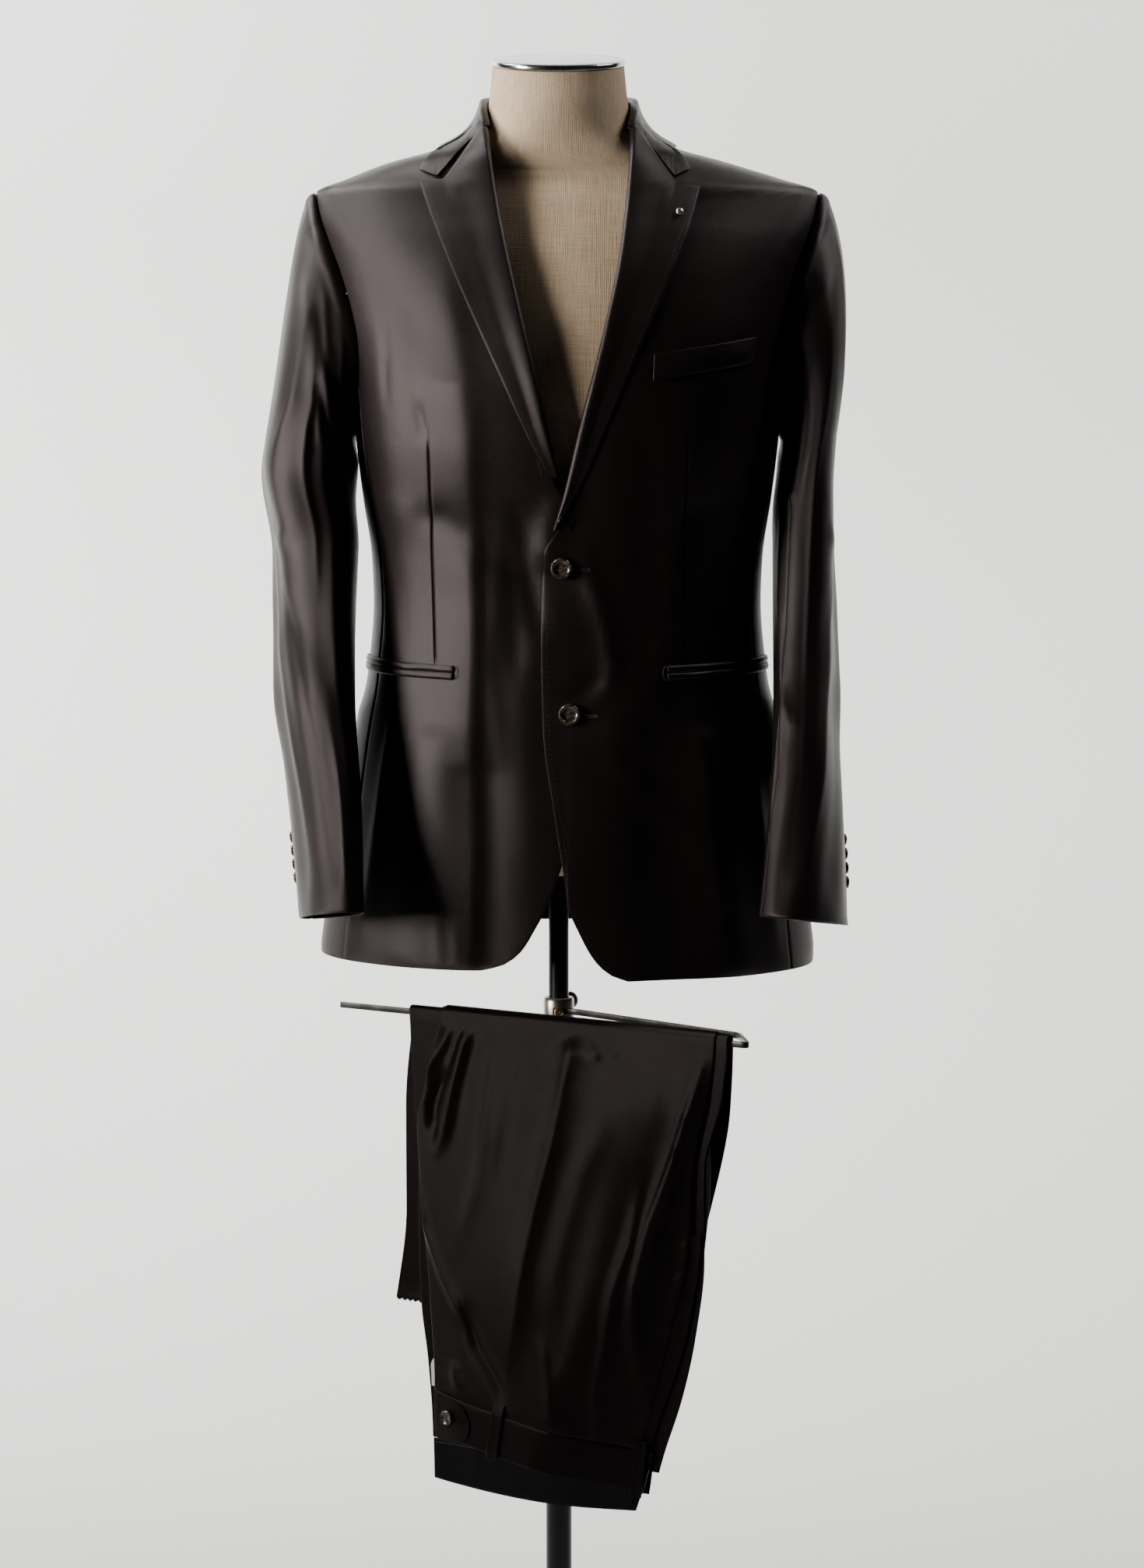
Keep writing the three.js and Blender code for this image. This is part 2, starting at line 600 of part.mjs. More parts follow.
function sleeveSurface(side) {
  const rings = sleeveRings[side.name];
  const fromCuff = [...rings].reverse();
  const ring = readers(fromCuff, 'z', sleeveColumns.slice(1));
  const cuffZ = fromCuff[0].z;
  const centre = (z) => vec(side.hand * ring.x(z), ring.y(z), z);
  const armRing = (turn, share) => {
    const z = lerp(rings[0].z, cuffZ, share);
    const down = centre(z - 12).sub(centre(z + 12)).normalize();
    const twist = degrees(ring.twist(z));
    const wide = vec(side.hand * Math.cos(twist), -Math.sin(twist), 0);
    const ahead = down.clone().cross(wide).normalize().multiplyScalar(-side.hand);
    const lift = sleeveTilt * Math.cos(turn) * (1 - smoothstep(share, 0, 0.3));
    return centre(z).addScaledVector(wide, ring.halfWide(z) * Math.cos(turn))
      .addScaledVector(ahead, -ring.halfDeep(z) * Math.sin(turn)).add(vec(0, 0, lift));
  };
  const cap = (turn, t) => {
    const spot = armholeSpot(side.hand, turn);
    const start = body.at(spot.u, spot.v);
    const head = sleeveHeads[side.name];
    const lead = 5 + ((head.lead - 5) / 2) * (1 + Math.cos(turn));
    const handle = start.clone().add(vec(side.hand * lead, -2.5 * Math.sin(turn),
      2.5 * Math.cos(turn)));
    const end = armRing(turn, 0);
    const down = end.clone().sub(armRing(turn, 0.06)).normalize();
    const pull = end.clone().addScaledVector(down, head.pull * end.distanceTo(start))
      .add(vec(side.hand * head.out * Math.max(Math.cos(turn), 0), 0, 0));
    return new THREE.CubicBezierCurve3(start, handle, pull, end).getPoint(t);
  };
  return {
    at: (turn, v) => (v < 1 ? cap(turn, v) : armRing(turn, v - 1)),
    folds: (turn, v) => foldHeight(scaledSleeveFolds, turn * 57.3, v * 250)
      * smoothstep(v, 0.15, 0.5),
    du: 0.02, dv: 0.01, vMin: 0, vMax: 2, faces: side.hand,
  };
}
const scaledSleeveFolds = sleeveFolds.map((fold) => (
  { ...fold, v0: fold.v0 * 250, v1: fold.v1 * 250 }));

const sleeveRows = [0, 0.08, 0.2, 0.38, 0.6, 0.82, 1, 1.2, 1.4, 1.6, 1.8, 2];
const sleeveSeams = { front: 7, hind: 15 };   // positions among the armhole's points

function sleevePiece(side, from, count) {
  const surface = sleeveSurface(side);
  const place = (i, j) => ({
    u: degrees(armholeTurns[(from + i) % armholePoints]), v: sleeveRows[j],
  });
  return clothWall(surface, count, sleeveRows.length - 1, jacketWall, place);
}

for (const side of sides) {
  const { front, hind } = sleeveSeams;
  add(`lapel_${side.name}`, lapel(side), finishes.satin());
  add(`sleeve_top_${side.name}`,
    sleevePiece(side, hind, armholePoints + front - hind), finishes.satin());
  add(`sleeve_under_${side.name}`, sleevePiece(side, front, hind - front), finishes.satin());
}
add('collar', collar(), finishes.satin());

// ---- what lies on the panels --------------------------------------------------------------
// steps along a ring by its real length
function angleAlong(startAngle, z, distance) {
  const hand = Math.sign(distance);
  let angle = startAngle;
  let gone = 0;
  while (gone < Math.abs(distance)) {
    gone += body.at(angle, z).distanceTo(body.at(angle + hand * 0.005, z));
    angle += hand * 0.005;
  }
  return angle;
}

const hipPocket = { x: 94, z: 1054, length: 145, tall: 13, rise: 4, ridge: 0.7, wall: 1.5, out: 1.9 };
const lipRise = [0, 1, 0, 1, 0];
function pocket(side) {
  const columns = 8;
  const start = angleAt(side.hand * hipPocket.x + 2, hipPocket.z);
  const angles = grid(columns, 0, (i) => angleAlong(start, hipPocket.z,
    side.hand * Math.max(0.1, (hipPocket.length * i) / columns)))[0];
  const place = (i, j) => {
    const z = hipPocket.z + lerp(-0.5, 0.5, j / 4) * hipPocket.tall + (hipPocket.rise * i) / columns;
    return { u: angles[i], v: z, out: layGap + hipPocket.out + hipPocket.ridge * lipRise[j] };
  };
  return clothWall(body, columns, 4, hipPocket.wall, place);
}

const breastWelt = { x: 83, z: 1312, length: 98, tall: 23, rise: 16 };
function welt() {
  const columns = 5;
  const start = angleAt(breastWelt.x, breastWelt.z);
  const place = (i, j) => {
    const angle = angleAlong(start, breastWelt.z, Math.max(0.1, (breastWelt.length * i) / columns));
    const z = breastWelt.z + (breastWelt.rise * i) / columns + breastWelt.tall * (j / 2);
    return { u: angle, v: z, out: layGap + lightWall };
  };
  return clothWall(body, columns, 2, lightWall, place);
}

const buttonProfile = (radius, thick) => [
  [0, 0], [radius * 0.88, 0], [radius, thick * 0.5], [radius * 0.9, thick],
  [radius * 0.64, thick * 0.55], [0, thick * 0.55],
];

// stands a turned piece on a surface, its axis along the normal
function standOn(mesh, surface, u, v, out) {
  mesh.position.copy(lifted(surface, u, v, out));
  mesh.quaternion.setFromUnitVectors(vec(0, 0, 1), normalOf(surface, u, v));
}

for (const side of sides) add(`pocket_${side.name}`, pocket(side), finishes.satin());
add('breast_welt', welt(), finishes.satin());

const frontButtons = table(['name', 'x', 'z', 'out'], [
  ['button_top', 3, 1148, 1.9], ['button_lower', 10, 1018, 0.75],
]);
for (const { name, x, z, out } of frontButtons) {
  const mesh = add(name, turned(buttonProfile(9.75, 4), 20), finishes.horn());
  standOn(mesh, body, angleAt(x, z), z, overlap.lift + out);
}

const cuffButtons = {
  count: 4, radius: 5.6, first: 1.895, step: -0.029, turn: 312, out: { right: -0.1, left: 0.2 },
};
for (const side of sides) {
  const surface = sleeveSurface(side);
  for (let n = 0; n < cuffButtons.count; n += 1) {
    const mesh = add(`cuff_button_${side.name}_${n + 1}`,
      turned(buttonProfile(cuffButtons.radius, 2.6), 10), finishes.horn());
    const v = cuffButtons.first + cuffButtons.step * n;
    standOn(mesh, surface, degrees(cuffButtons.turn), v, cuffButtons.out[side.name]);
  }
}

const stud = { x: 107, z: 1460, radius: 3.4 };
const studMesh = add('lapel_stud', turned([[0, 0], [stud.radius, 0], [stud.radius, 0.8],
  [stud.radius * 0.75, 2], [0, 2.6]], 12), finishes.nickel());
standOn(studMesh, body, angleAt(stud.x, stud.z), stud.z, lapelShape.out + 0.7);

// ---- the dress form -----------------------------------------------------------------------
const formRings = table(['z', 'middle', 'halfWidth', 'front', 'back'], [
  [868, 4, 118, 82, 84],
  [890, 6, 156, 108, 112],
  [930, 8, 168, 118, 118],
  [1000, 8, 170, 117, 112],
  [1080, 8, 163, 107, 96],
  [1130, 8, 162, 106, 90],
  [1206, 8, 169, 115, 95],
  [1290, 8, 178, 126, 104],
  [1360, 8, 181, 117, 103],
  [1420, 8, 186, 101, 98],
  [1455, 8, 193, 86, 92],
  [1474, 8, 194, 76, 82],
  [1486.4, 8, 186, 68, 74],
  [1492.4, 8, 178, 65, 71],
  [1505.4, 2, 145, 63, 69],
  [1516.4, 0, 108, 63, 69],
  [1527, 0, 84, 63, 69],
  [1539, 0, 69, 64, 67],
  [1553, 0, 64.5, 64.5, 64.5],
  [1597, 0, 59.5, 59.5, 59.5],
]);

function formPoint(row, angle) {
  const neck = smoothstep(row.z, 1500, 1555);
  const point = ringPoint({ ...row, power: lerp(2.25, 2, neck) }, angle, row.z);
  return point.add(vec(0, 0, neckTilt * point.y * smoothstep(row.z, 1550, 1597)));
}

const wasm = await Module();
wasm.setup();

function toManifold(geometry) {
  const bare = geometry.clone();
  bare.deleteAttribute('normal');
  bare.deleteAttribute('uv');
  const merged = mergeVertices(bare, 1e-4);
  return new wasm.Manifold(new wasm.Mesh({
    numProp: 3,
    vertProperties: new Float32Array(merged.attributes.position.array),
    triVerts: new Uint32Array(merged.index.array),
  }));
}

function fromManifold(body) {
  const mesh = body.getMesh();
  const geometry = new THREE.BufferGeometry();
  geometry.setAttribute('position', new THREE.BufferAttribute(mesh.vertProperties, 3));
  geometry.setIndex(new THREE.BufferAttribute(mesh.triVerts, 1));
  return geometry;
}

function cut(geometry, ...tools) {
  const result = tools.reduce((rest, tool) => rest.subtract(toManifold(tool)),
    toManifold(geometry));
  return fromManifold(result);
}

function cylinder(radius, from, to, segments = 24) {
  return turned([[0, from], [radius, from], [radius, to], [0, to]], segments);
}

function torso() {
  const around = 24;
  const rings = formRings.map((row) => Array.from({ length: around },
    (_, i) => formPoint(row, (i / around) * Math.PI * 2)));
  return cut(stackedRings(rings), cylinder(pole.tubeInside, 800, rod.top + 0.3));
}

add('torso', torso(), finishes.linen());
const capMesh = add('neck_cap', turned([[0, 0], [59.5, 0], [60.7, 1], [60.7, 4], [59.6, 5],
  [0, 6.4]], 28), finishes.chrome());
capMesh.position.set(0, 0, 1597.4);
capMesh.rotation.x = Math.atan(neckTilt);

// ---- pole, clamp, base --------------------------------------------------------------------
add('upper_rod', cylinder(pole.rod, rod.foot, rod.top, 20), finishes.blackSteel());
add('lower_tube', turned([[pole.tubeInside, 20], [pole.tube, 20], [pole.tube, 730],
  [pole.tubeInside, 730], [pole.tubeInside, 20]], 20), finishes.blackSteel());
add('base', turned([[0, 0], [base.radius - 2, 0], [base.radius, 2], [base.radius, base.edge],
  [base.radius - 4, base.height - 3], [base.hub, base.height + 2], [base.hub - 2, base.hubTop],
  [pole.tube + 0.3, base.hubTop], [pole.tube + 0.3, 19.7], [0, 19.7]], 32), finishes.blackSteel());

const gap = 0.3;
const { clampBase, clampTop } = pole;
const clampShell = turned([[pole.tube + gap, clampBase], [pole.clamp - 1, clampBase],
  [pole.clamp, clampBase + 1], [pole.clamp, clampTop - 1.5], [pole.clamp - 1.5, clampTop],
  [pole.rod + gap, clampTop], [pole.rod + gap, 730 + gap], [pole.tube + gap, 730 + gap],
  [pole.tube + gap, clampBase]], 24);

// a screw lies along a level direction out of the pole's axis, its foot in a hole of the clamp
const screwFoot = 12.9;
const screwHole = (turn, z) => cylinder(2.3, screwFoot - gap, 30, 12).rotateX(Math.PI / 2)
  .rotateZ(turn).translate(0, 0, z);
function screw(name, profile, turn, z, material) {
  const mesh = add(name, turned(profile, 16), material);
  mesh.position.set(0, 0, z);
  mesh.rotation.set(Math.PI / 2, 0, turn, 'ZYX');
  return mesh;
}
const knob = { turn: degrees(150), z: 739 };
add('lock_collar', cut(clampShell, screwHole(0, bar.middle), screwHole(knob.turn, knob.z)),
  finishes.nickel());
screw('clamp_knob', [[0, screwFoot], [2, screwFoot], [2, 16], [7, 16], [8, 17.5], [8, 22],
  [7, 23.5], [0, 23.5]], knob.turn, knob.z, finishes.blackSteel());
screw('bar_screw', [[0, screwFoot], [2, screwFoot], [2, 18.6], [4.2, 18.6], [4.2, 20.6], [3.4, 21.6],
  [0, 21.6]], 0, bar.middle, finishes.brass());

// ---- the trouser bar: a flat hairpin, one arm on the clamp and one free -------------------
const barCorners = table(['x', 'y', 'round'], [
  [-204, 23.4, 0], [166.6, -202.8, 7], [161, -152, 7], [12, -17.2, 9], [-5.5, -16.1, 0],
]);

function roundedPath(corners) {
  const path = new THREE.CurvePath();
  let from = new THREE.Vector2(corners[0].x, corners[0].y);
  corners.slice(1).forEach((corner, n) => {
    const at = new THREE.Vector2(corner.x, corner.y);
    const next = corners[n + 2];
    if (!next) {
      path.add(new THREE.LineCurve(from, at));
      return;
    }
    const before = at.clone().lerp(from, corner.round / at.distanceTo(from));
    const onward = new THREE.Vector2(next.x, next.y);
    const after = at.clone().lerp(onward, corner.round / at.distanceTo(onward));
    path.add(new THREE.LineCurve(from, before));
    path.add(new THREE.QuadraticBezierCurve(before, at, after));
    from = after;
  });
  return path;
}

function trouserBar() {
  const middle = roundedPath(barCorners).curves.flatMap((curve, n) => {
    const points = curve.getPoints(curve.isLineCurve ? 1 : 4);
    return n === 0 ? points : points.slice(1);
  });
  const offset = (hand) => middle.map((point, n) => {
    const before = middle[Math.max(n - 1, 0)];
    const after = middle[Math.min(n + 1, middle.length - 1)];
    const along = after.clone().sub(before).normalize();
    return new THREE.Vector2(point.x - along.y * hand, point.y + along.x * hand);
  });
  const half = bar.thick / 2;
  const shape = new THREE.Shape([...offset(half), ...offset(-half).reverse()]);
  const strip = new THREE.ExtrudeGeometry(shape, { depth: bar.tall, bevelEnabled: false });
  strip.translate(0, 0, bar.middle - bar.tall / 2);
  return cut(strip, screwHole(0, bar.middle));
}
add('trouser_bar', trouserBar(), finishes.gunmetal());

// ---- trousers -----------------------------------------------------------------------------
// They hang over the bar's free arm. u is the distance along the bar, v the path over it: below
// 0 is the drop in front of the bar, 0 to 4 goes over the top, beyond 4 is the drop behind.
const [barStart, barTurn] = barCorners.map(({ x, y }) => vec(x, y, 0));
const barRun = barTurn.clone().sub(barStart).normalize();
const hang = {
  origin: barStart.clone().addScaledVector(barRun, -barStart.x / barRun.x)
    .setZ(bar.middle + bar.tall / 2 - 0.5),
  along: barRun,
  ahead: vec(barRun.y, -barRun.x, 0),
  clear: 0.45, pitch: 1.5,
};
const overTop = 4;

// "room" is the extra step that leaves place for the pocket cloth under the two front panels
const layers = {
  front_left: { order: 0, leg: 'left', waist: 'front', hem: 277, room: -2 },
  back_left: { order: 1, leg: 'left', waist: 'back', hem: 277, room: 0 },
  back_right: { order: 2, leg: 'right', waist: 'back', hem: 197, room: 0 },
  front_right: { order: 3, leg: 'right', waist: 'front', hem: 197, room: 2.4 },
};

// how far each layer swings out below the bar, by its drop
const swing = table(['drop', 'front_left', 'back_left', 'back_right', 'front_right'], [
  [0, 0, 0, 0, 0],
  [12, 0, 0.1, 0.3, 0.8],
  [60, 0, 0.6, 1.6, 7],
  [120, 0, 1.2, 2.8, 14],
  [200, 0, 1.8, 4, 22],
  [280, 0, 2.4, 5, 29],
  [350, -5, 2.8, 6, 34],
  [445, -10, 3.4, 7, 37],
]);
const swingOf = readers(swing, 'drop', Object.keys(layers));

const edgesOf = {
  right: table(['path', 'left', 'leftBack', 'right', 'seam'], [
    [-445, -108, -127, 82, 79], [-400, -109, -128, 97.5, 87], [-377, -110, -129, 104, 88],
    [-345, -111, -130, 114, 98], [-295, -116, -135, 133, 112], [-245, -122, -143, 146, 126],
    [-181, -131, -146, 155, 142], [-107, -140, -146, 155, 146], [-45, -128, -138, 172, 160],
    [0, -120, -124, 177, 166], [60, -112, -114, 173, 161], [197, -66, -68, 142, 138],
  ]),
  left: table(['path', 'left', 'leftBack', 'right', 'seam'], [
    [-445, -108, -126, 80, 77], [-400, -109, -127, 93, 86], [-377, -110, -128, 100, 87],
    [-345, -112, -129, 112, 98], [-295, -118, -134, 131, 112], [-245, -126, -142, 143, 126],
    [-181, -136, -146, 153, 144], [-107, -146, -150, 160, 149], [-45, -153, -156, 157, 146],
    [0, -158, -159, 150, 140], [90, -168, -169, 132, 124], [190, -168, -169, 82, 78],
    [277, -180, -181, 36, 34],
  ]),
};
const edgeReaders = Object.fromEntries(Object.entries(edgesOf).map(
  ([leg, rows]) => [leg, readers(rows, 'path', ['left', 'leftBack', 'right', 'seam'])]));

// folds of the right front, u along the bar and v the path
const trouserFolds = table(['u0', 'v0', 'u1', 'v1', 'width', 'height'], [
  [20, -14, 2, -190, 9, 4], [2, -190, -38, -338, 10, 4.5],
  [141, -60, 116, -176, 13, 6], [116, -176, 92, -290, 12, 5],
  [-95, -16, -122, -70, 14, 4], [-112, -118, -96, -128, 13, 6],
  [-60, -30, -88, -230, 15, -4], [70, -40, 60, -240, 16, -4],
  [40, -290, 66, -190, 10, 3], [-80, -330, -100, -200, 10, 2.5],
]);

function trouserLayer(name) {
  const { order, leg, room } = layers[name];
  const radius = bar.thick / 2 + hang.clear + trouserWall + hang.pitch * order;
  const edges = edgeReaders[leg];
  const facing = name === 'front_right';
  const at = (u, v) => {
    const point = hang.origin.clone().addScaledVector(hang.along, u);
    if (v > 0 && v < overTop) {
      const turn = (v / overTop) * Math.PI;
      return point.addScaledVector(hang.ahead, radius * Math.cos(turn))
        .add(vec(0, 0, radius * Math.sin(turn)));
    }
    if (v >= overTop) {
      const drop = v - overTop;
      const spread = (1.5 + 1.3 * order) * smoothstep(drop, 4, 90);
      return point.addScaledVector(hang.ahead, -radius - spread).add(vec(0, 0, -drop));
    }
    const fromSide = smoothstep(edges.right(v) - u, -6, 105);
    const fromFly = facing ? lerp(0.75, 1, smoothstep(u - edges.left(v), -30, 45)) : 1;
    const swung = swingOf[name](-v) * fromSide * fromFly + room * smoothstep(-v, 10, 75);
    return point.addScaledVector(hang.ahead, radius + swung).add(vec(0, 0, v));
  };
  return {
    at,
    folds: (u, v) => (facing ? foldHeight(trouserFolds, u, v) * smoothstep(-v, 8, 40)
      * smoothstep(edges.right(v) - u, 0, 30) : 0),
    du: 0.5, dv: 0.5, vMin: -460, vMax: 400, faces: 1,
  };
}

const waistSeam = { front: (u) => 344 + (u + 107) * 0.165, back: () => 397 };
const waistEdge = {
  front: (u) => 382 + (u + 107) * 0.178,
  back: (u) => 441 - 6 * ((u + 20) / 107) ** 2,
};
const frontRows = [1, 0.88, 0.75, 0.62, 0.49, 0.36, 0.24, 0.13, 0.04, 0];
const rearRows = [0.08, 0.36, 0.68, 1];

// rows run from the waist seam up to the bar, over it, and down to the hem
function trouserRow(name, j) {
  if (j < frontRows.length) return { share: frontRows[j], path: -frontRows[j] * 360 };
  const over = j - frontRows.length + 1;
  if (over <= overTop) return { share: 0, path: 0, v: over };
  const drop = layers[name].hem * rearRows[over - overTop - 1];
  return { share: 0, path: drop, v: overTop + drop };
}

function trouserPanel(name) {
  const { leg, waist } = layers[name];
  const edges = edgeReaders[leg];
  const front = waist === 'front';
  const columns = name === 'front_right' ? 10 : 7;
  const rows = frontRows.length + overTop + rearRows.length - 1;
  const place = (i, j) => {
    const row = trouserRow(name, j);
    const left = front ? edges.left(row.path) : edges.leftBack(row.path);
    const right = front ? edges.seam(row.path) : edges.right(row.path);
    const u = lerp(left, right, i / columns);
    return { u, v: row.v ?? -row.share * waistSeam[waist](u) };
  };
  return clothWall(trouserLayer(name), columns, rows, trouserWall, place);
}

const band = { extra: 0.5 };
function waistband(name) {
  const { leg, waist } = layers[name];
  const edges = edgeReaders[leg];
  const columns = 9;
  const place = (i, j) => {
    const t = j / 2;
    const path = waist === 'front' ? lerp(-372, -410, t) : lerp(-397, -435, t);
    const left = waist === 'front' ? edges.left(path) : edges.leftBack(path);
    const u = lerp(left, edges.right(path), i / columns);
    return { u, v: -lerp(waistSeam[waist](u), waistEdge[waist](u), t), out: band.extra };
  };
  return clothWall(trouserLayer(name), columns, 2, trouserWall + band.extra, place);
}

// the cloth between the slanted pocket mouth and the side seam, just under the front panel
const slant = { from: 372, to: 176, under: 7, depth: trouserWall + 0.4 };
function pocketSide(name) {
  const edges = edgeReaders[layers[name].leg];
  const surface = trouserLayer(name);
  const place = (i, j) => {
    const path = -lerp(slant.from, slant.to, j / 6);
    const left = edges.seam(path) - slant.under;
    const out = name === 'front_right' ? -slant.depth : slant.depth;
    return { u: lerp(left, edges.right(path) - 2, i / 3), v: path, out };
  };
  return clothWall(surface, 3, 6, trouserWall, place);
}

const beltLoops = table(['u', 'lift'], [[-39, 0.35], [92, 0.9]]);
function beltLoop(name, { u, lift }) {
  const surface = trouserLayer(name);
  const rear = name.startsWith('front_left');
  const out = rear ? -trouserWall - lift : band.extra + lift + 1.2;
  const place = (i, j) => ({
    u: u + (i - 1) * 5,
    v: -lerp(waistSeam.front(u) - 9, waistEdge.front(u) + 3, j / 3),
    out: out + (rear ? -1 : 1) * (j === 0 || j === 3 ? 0 : 0.9),
  });
  return clothWall(surface, 2, 3, 1.2, place);
}

for (const name of Object.keys(layers)) {
  add(`trouser_${name}`, trouserPanel(name), finishes.trouserSatin());
  add(`waistband_${name}`, waistband(name), finishes.trouserSatin());
}
for (const side of sides) {
  const name = `front_${side.name}`;
  add(`pocket_side_${side.name}`, pocketSide(name), finishes.trouserSatin());
  beltLoops.forEach((loop, n) => {
    add(`belt_loop_${side.name}_${n + 1}`, beltLoop(name, loop), finishes.trouserSatin());
  });
}

const lining = { wall: 1, from: 400, gap: 0.4 };
function waistbandLining() {
  const surface = trouserLayer('back_right');
  const edges = edgeReaders.right;
  const place = (i, j) => {
    const path = -lerp(lining.from, 431, j);
    const u = lerp(edges.leftBack(path) + 2, edges.right(path) - 6, i / 8);
    const v = -lerp(lining.from, waistEdge.back(u) - 2, j);
    return { u, v, out: band.extra + lining.gap + lining.wall };
  };
  return clothWall(surface, 8, 1, lining.wall, place);
}
add('waistband_lining', waistbandLining(), finishes.lining());

// the buttoned end of the front waistband, rounded at its free side
const tab = { from: -106, to: -67, middle: 365.5, half: 20, round: 19, wall: 1.3 };
const tabOut = band.extra + gap + tab.wall;
function waistbandTab() {
  const place = (i, j) => {
    const u = lerp(tab.from, tab.to, Math.sin((i / 7) * Math.PI / 2));
    const into = Math.max(0, u - (tab.to - tab.round)) / tab.round;
    const half = tab.half * Math.sqrt(Math.max(0.02, 1 - into * into));
    return { u, v: -(tab.middle + (u - tab.from) * 0.15 - lerp(-half, half, j / 3)), out: tabOut };
  };
  return clothWall(trouserLayer('front_right'), 7, 3, tab.wall, place);
}
add('waistband_tab', waistbandTab(), finishes.trouserSatin());
const tabButton = add('trouser_button', turned(buttonProfile(7, 3), 16), finishes.horn());
standOn(tabButton, trouserLayer('front_right'), -91.5, -366, tabOut + 0.7);

const zip = { from: 341, shown: 316, to: 190, wide: 12, wall: 1 };
function flyZip() {
  const edges = edgeReaders.right;
  const place = (i, j) => {
    const drop = lerp(zip.from, zip.to, j / 6);
    const left = edges.left(-drop) + (drop > zip.shown ? -4 : 3);
    return { u: left + (zip.wide * i) / 2, v: -drop, out: -trouserWall - 0.8 };
  };
  return clothWall(trouserLayer('front_right'), 2, 6, zip.wall, place);
}
add('fly_zip', flyZip(), finishes.zipTape());

export default group;
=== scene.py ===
# A two-piece business suit: the jacket on a linen dress form, the trousers over the stand's bar.
# Cutting tables are in millimetres and become metres where a mesh is written.
# +Z is up, the wearer faces -Y and +X is the wearer's left.
import math

import bmesh
import bpy
import numpy as np
from mathutils import Matrix, Vector


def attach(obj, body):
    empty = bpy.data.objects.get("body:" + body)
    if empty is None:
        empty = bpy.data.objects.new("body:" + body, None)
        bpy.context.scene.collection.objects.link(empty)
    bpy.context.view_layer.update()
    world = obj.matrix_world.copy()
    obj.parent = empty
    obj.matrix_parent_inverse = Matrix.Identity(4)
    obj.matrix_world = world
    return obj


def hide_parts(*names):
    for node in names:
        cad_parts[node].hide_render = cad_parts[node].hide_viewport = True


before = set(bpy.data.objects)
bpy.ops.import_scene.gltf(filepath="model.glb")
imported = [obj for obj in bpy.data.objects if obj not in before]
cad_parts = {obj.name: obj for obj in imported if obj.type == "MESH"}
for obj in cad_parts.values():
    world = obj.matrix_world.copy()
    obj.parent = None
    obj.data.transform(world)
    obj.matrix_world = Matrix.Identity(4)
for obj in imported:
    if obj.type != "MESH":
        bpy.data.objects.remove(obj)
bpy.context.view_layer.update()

mm = 0.001
print("frame loaded:", len(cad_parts), "nodes")


# small helpers: tables, folds and surfaces
def mix(a, b, t):
    return a + (b - a) * t


def smooth(x, low, high):
    t = np.clip((x - low) / (high - low), 0, 1)
    return t * t * (3 - 2 * t)


def unit(vectors):
    return vectors / np.maximum(np.linalg.norm(vectors, axis=-1, keepdims=True), 1e-9)


def stack(x, y, z):
    return np.stack(np.broadcast_arrays(x, y, z), -1).astype(float)


# 1 in the middle, fading away on both sides
def bell(away, width):
    return np.exp(-(away / width) ** 2)


# reads values at any key along a cubic that never overshoots
def reader(keys, values):
    rise = np.diff(values) / np.diff(keys)
    slopes = np.empty(len(values))
    slopes[0], slopes[-1] = rise[0], rise[-1]
    total = rise[:-1] + rise[1:]
    product = rise[:-1] * rise[1:]
    slopes[1:-1] = np.where(product > 0, 2 * product / np.where(product > 0, total, 1), 0)
    last = len(keys) - 1

    def read(at):
        at = np.clip(at, keys[0], keys[-1])
        i = np.clip(np.searchsorted(keys, at, side="left") - 1, 0, last - 1)
        span = keys[i + 1] - keys[i]
        t = (at - keys[i]) / span
        back = 1 - t
        return (values[i] * (1 + 2 * t) * back * back + values[i + 1] * t * t * (3 - 2 * t)
                + slopes[i] * span * t * back * back - slopes[i + 1] * span * t * t * back)
    return read


# a table's first column is its key, and names are those of the others
def readers(names, rows):
    columns = np.array(rows, float).T
    return {name: reader(columns[0], column) for name, column in zip(names.split(), columns[1:])}


def readAll(tables, where):
    return {name: read(where) for name, read in tables.items()}


# a fold is a bump about a straight stretch of cloth: u0 v0 u1 v1 width rise
def foldHeight(folds, u, v):
    height = np.zeros(np.broadcast(u, v).shape)
    for u0, v0, u1, v1, width, rise in folds:
        du, dv = u1 - u0, v1 - v0
        t = np.clip(((u - u0) * du + (v - v0) * dv) / (du * du + dv * dv), 0, 1)
        height += rise * bell(np.hypot(u - u0 - t * du, v - v0 - t * dv), width)
    return height


# a crease has a width, rise and edge, sometimes a lean (the share by which one side is wider),
# and the path of spots that it follows
def creaseHeight(creases, u, v):
    height = np.zeros(np.broadcast(u, v).shape)
    for width, rise, edge, *lean, path in creases:
        spots = np.array(path, float)
        lengths = np.hypot(*np.diff(spots, axis=0).T)
        best, along, side = (np.full(height.shape, value) for value in (1e9, 0.0, 1.0))
        for n, length in enumerate(lengths):
            du, dv = spots[n + 1] - spots[n]
            fu, fv = u - spots[n][0], v - spots[n][1]
            t = np.clip((fu * du + fv * dv) / length ** 2, 0, 1)
            away = np.hypot(fu - t * du, fv - t * dv)
            nearer = away < best
            best = np.where(nearer, away, best)
            along = np.where(nearer, (lengths[:n].sum() + t * length) / lengths.sum(), along)
            side = np.where(nearer, np.tanh((du * fv - dv * fu) / length), side)
        wide = width * (1 + (lean[0] if lean else 0) * side)
        ends = smooth(np.minimum(along, 1 - along), 0, 0.3)
        height += rise * np.exp(-(best / wide) ** edge) * ends
    return height


# an even wander between -1 and 1, the same each run
def wander(x, seed):
    return (np.sin(x + seed) + 0.6 * np.sin(1.73 * x + 2.1 * seed)
            + 0.4 * np.sin(2.9 * x - 1.3 * seed)) / 2


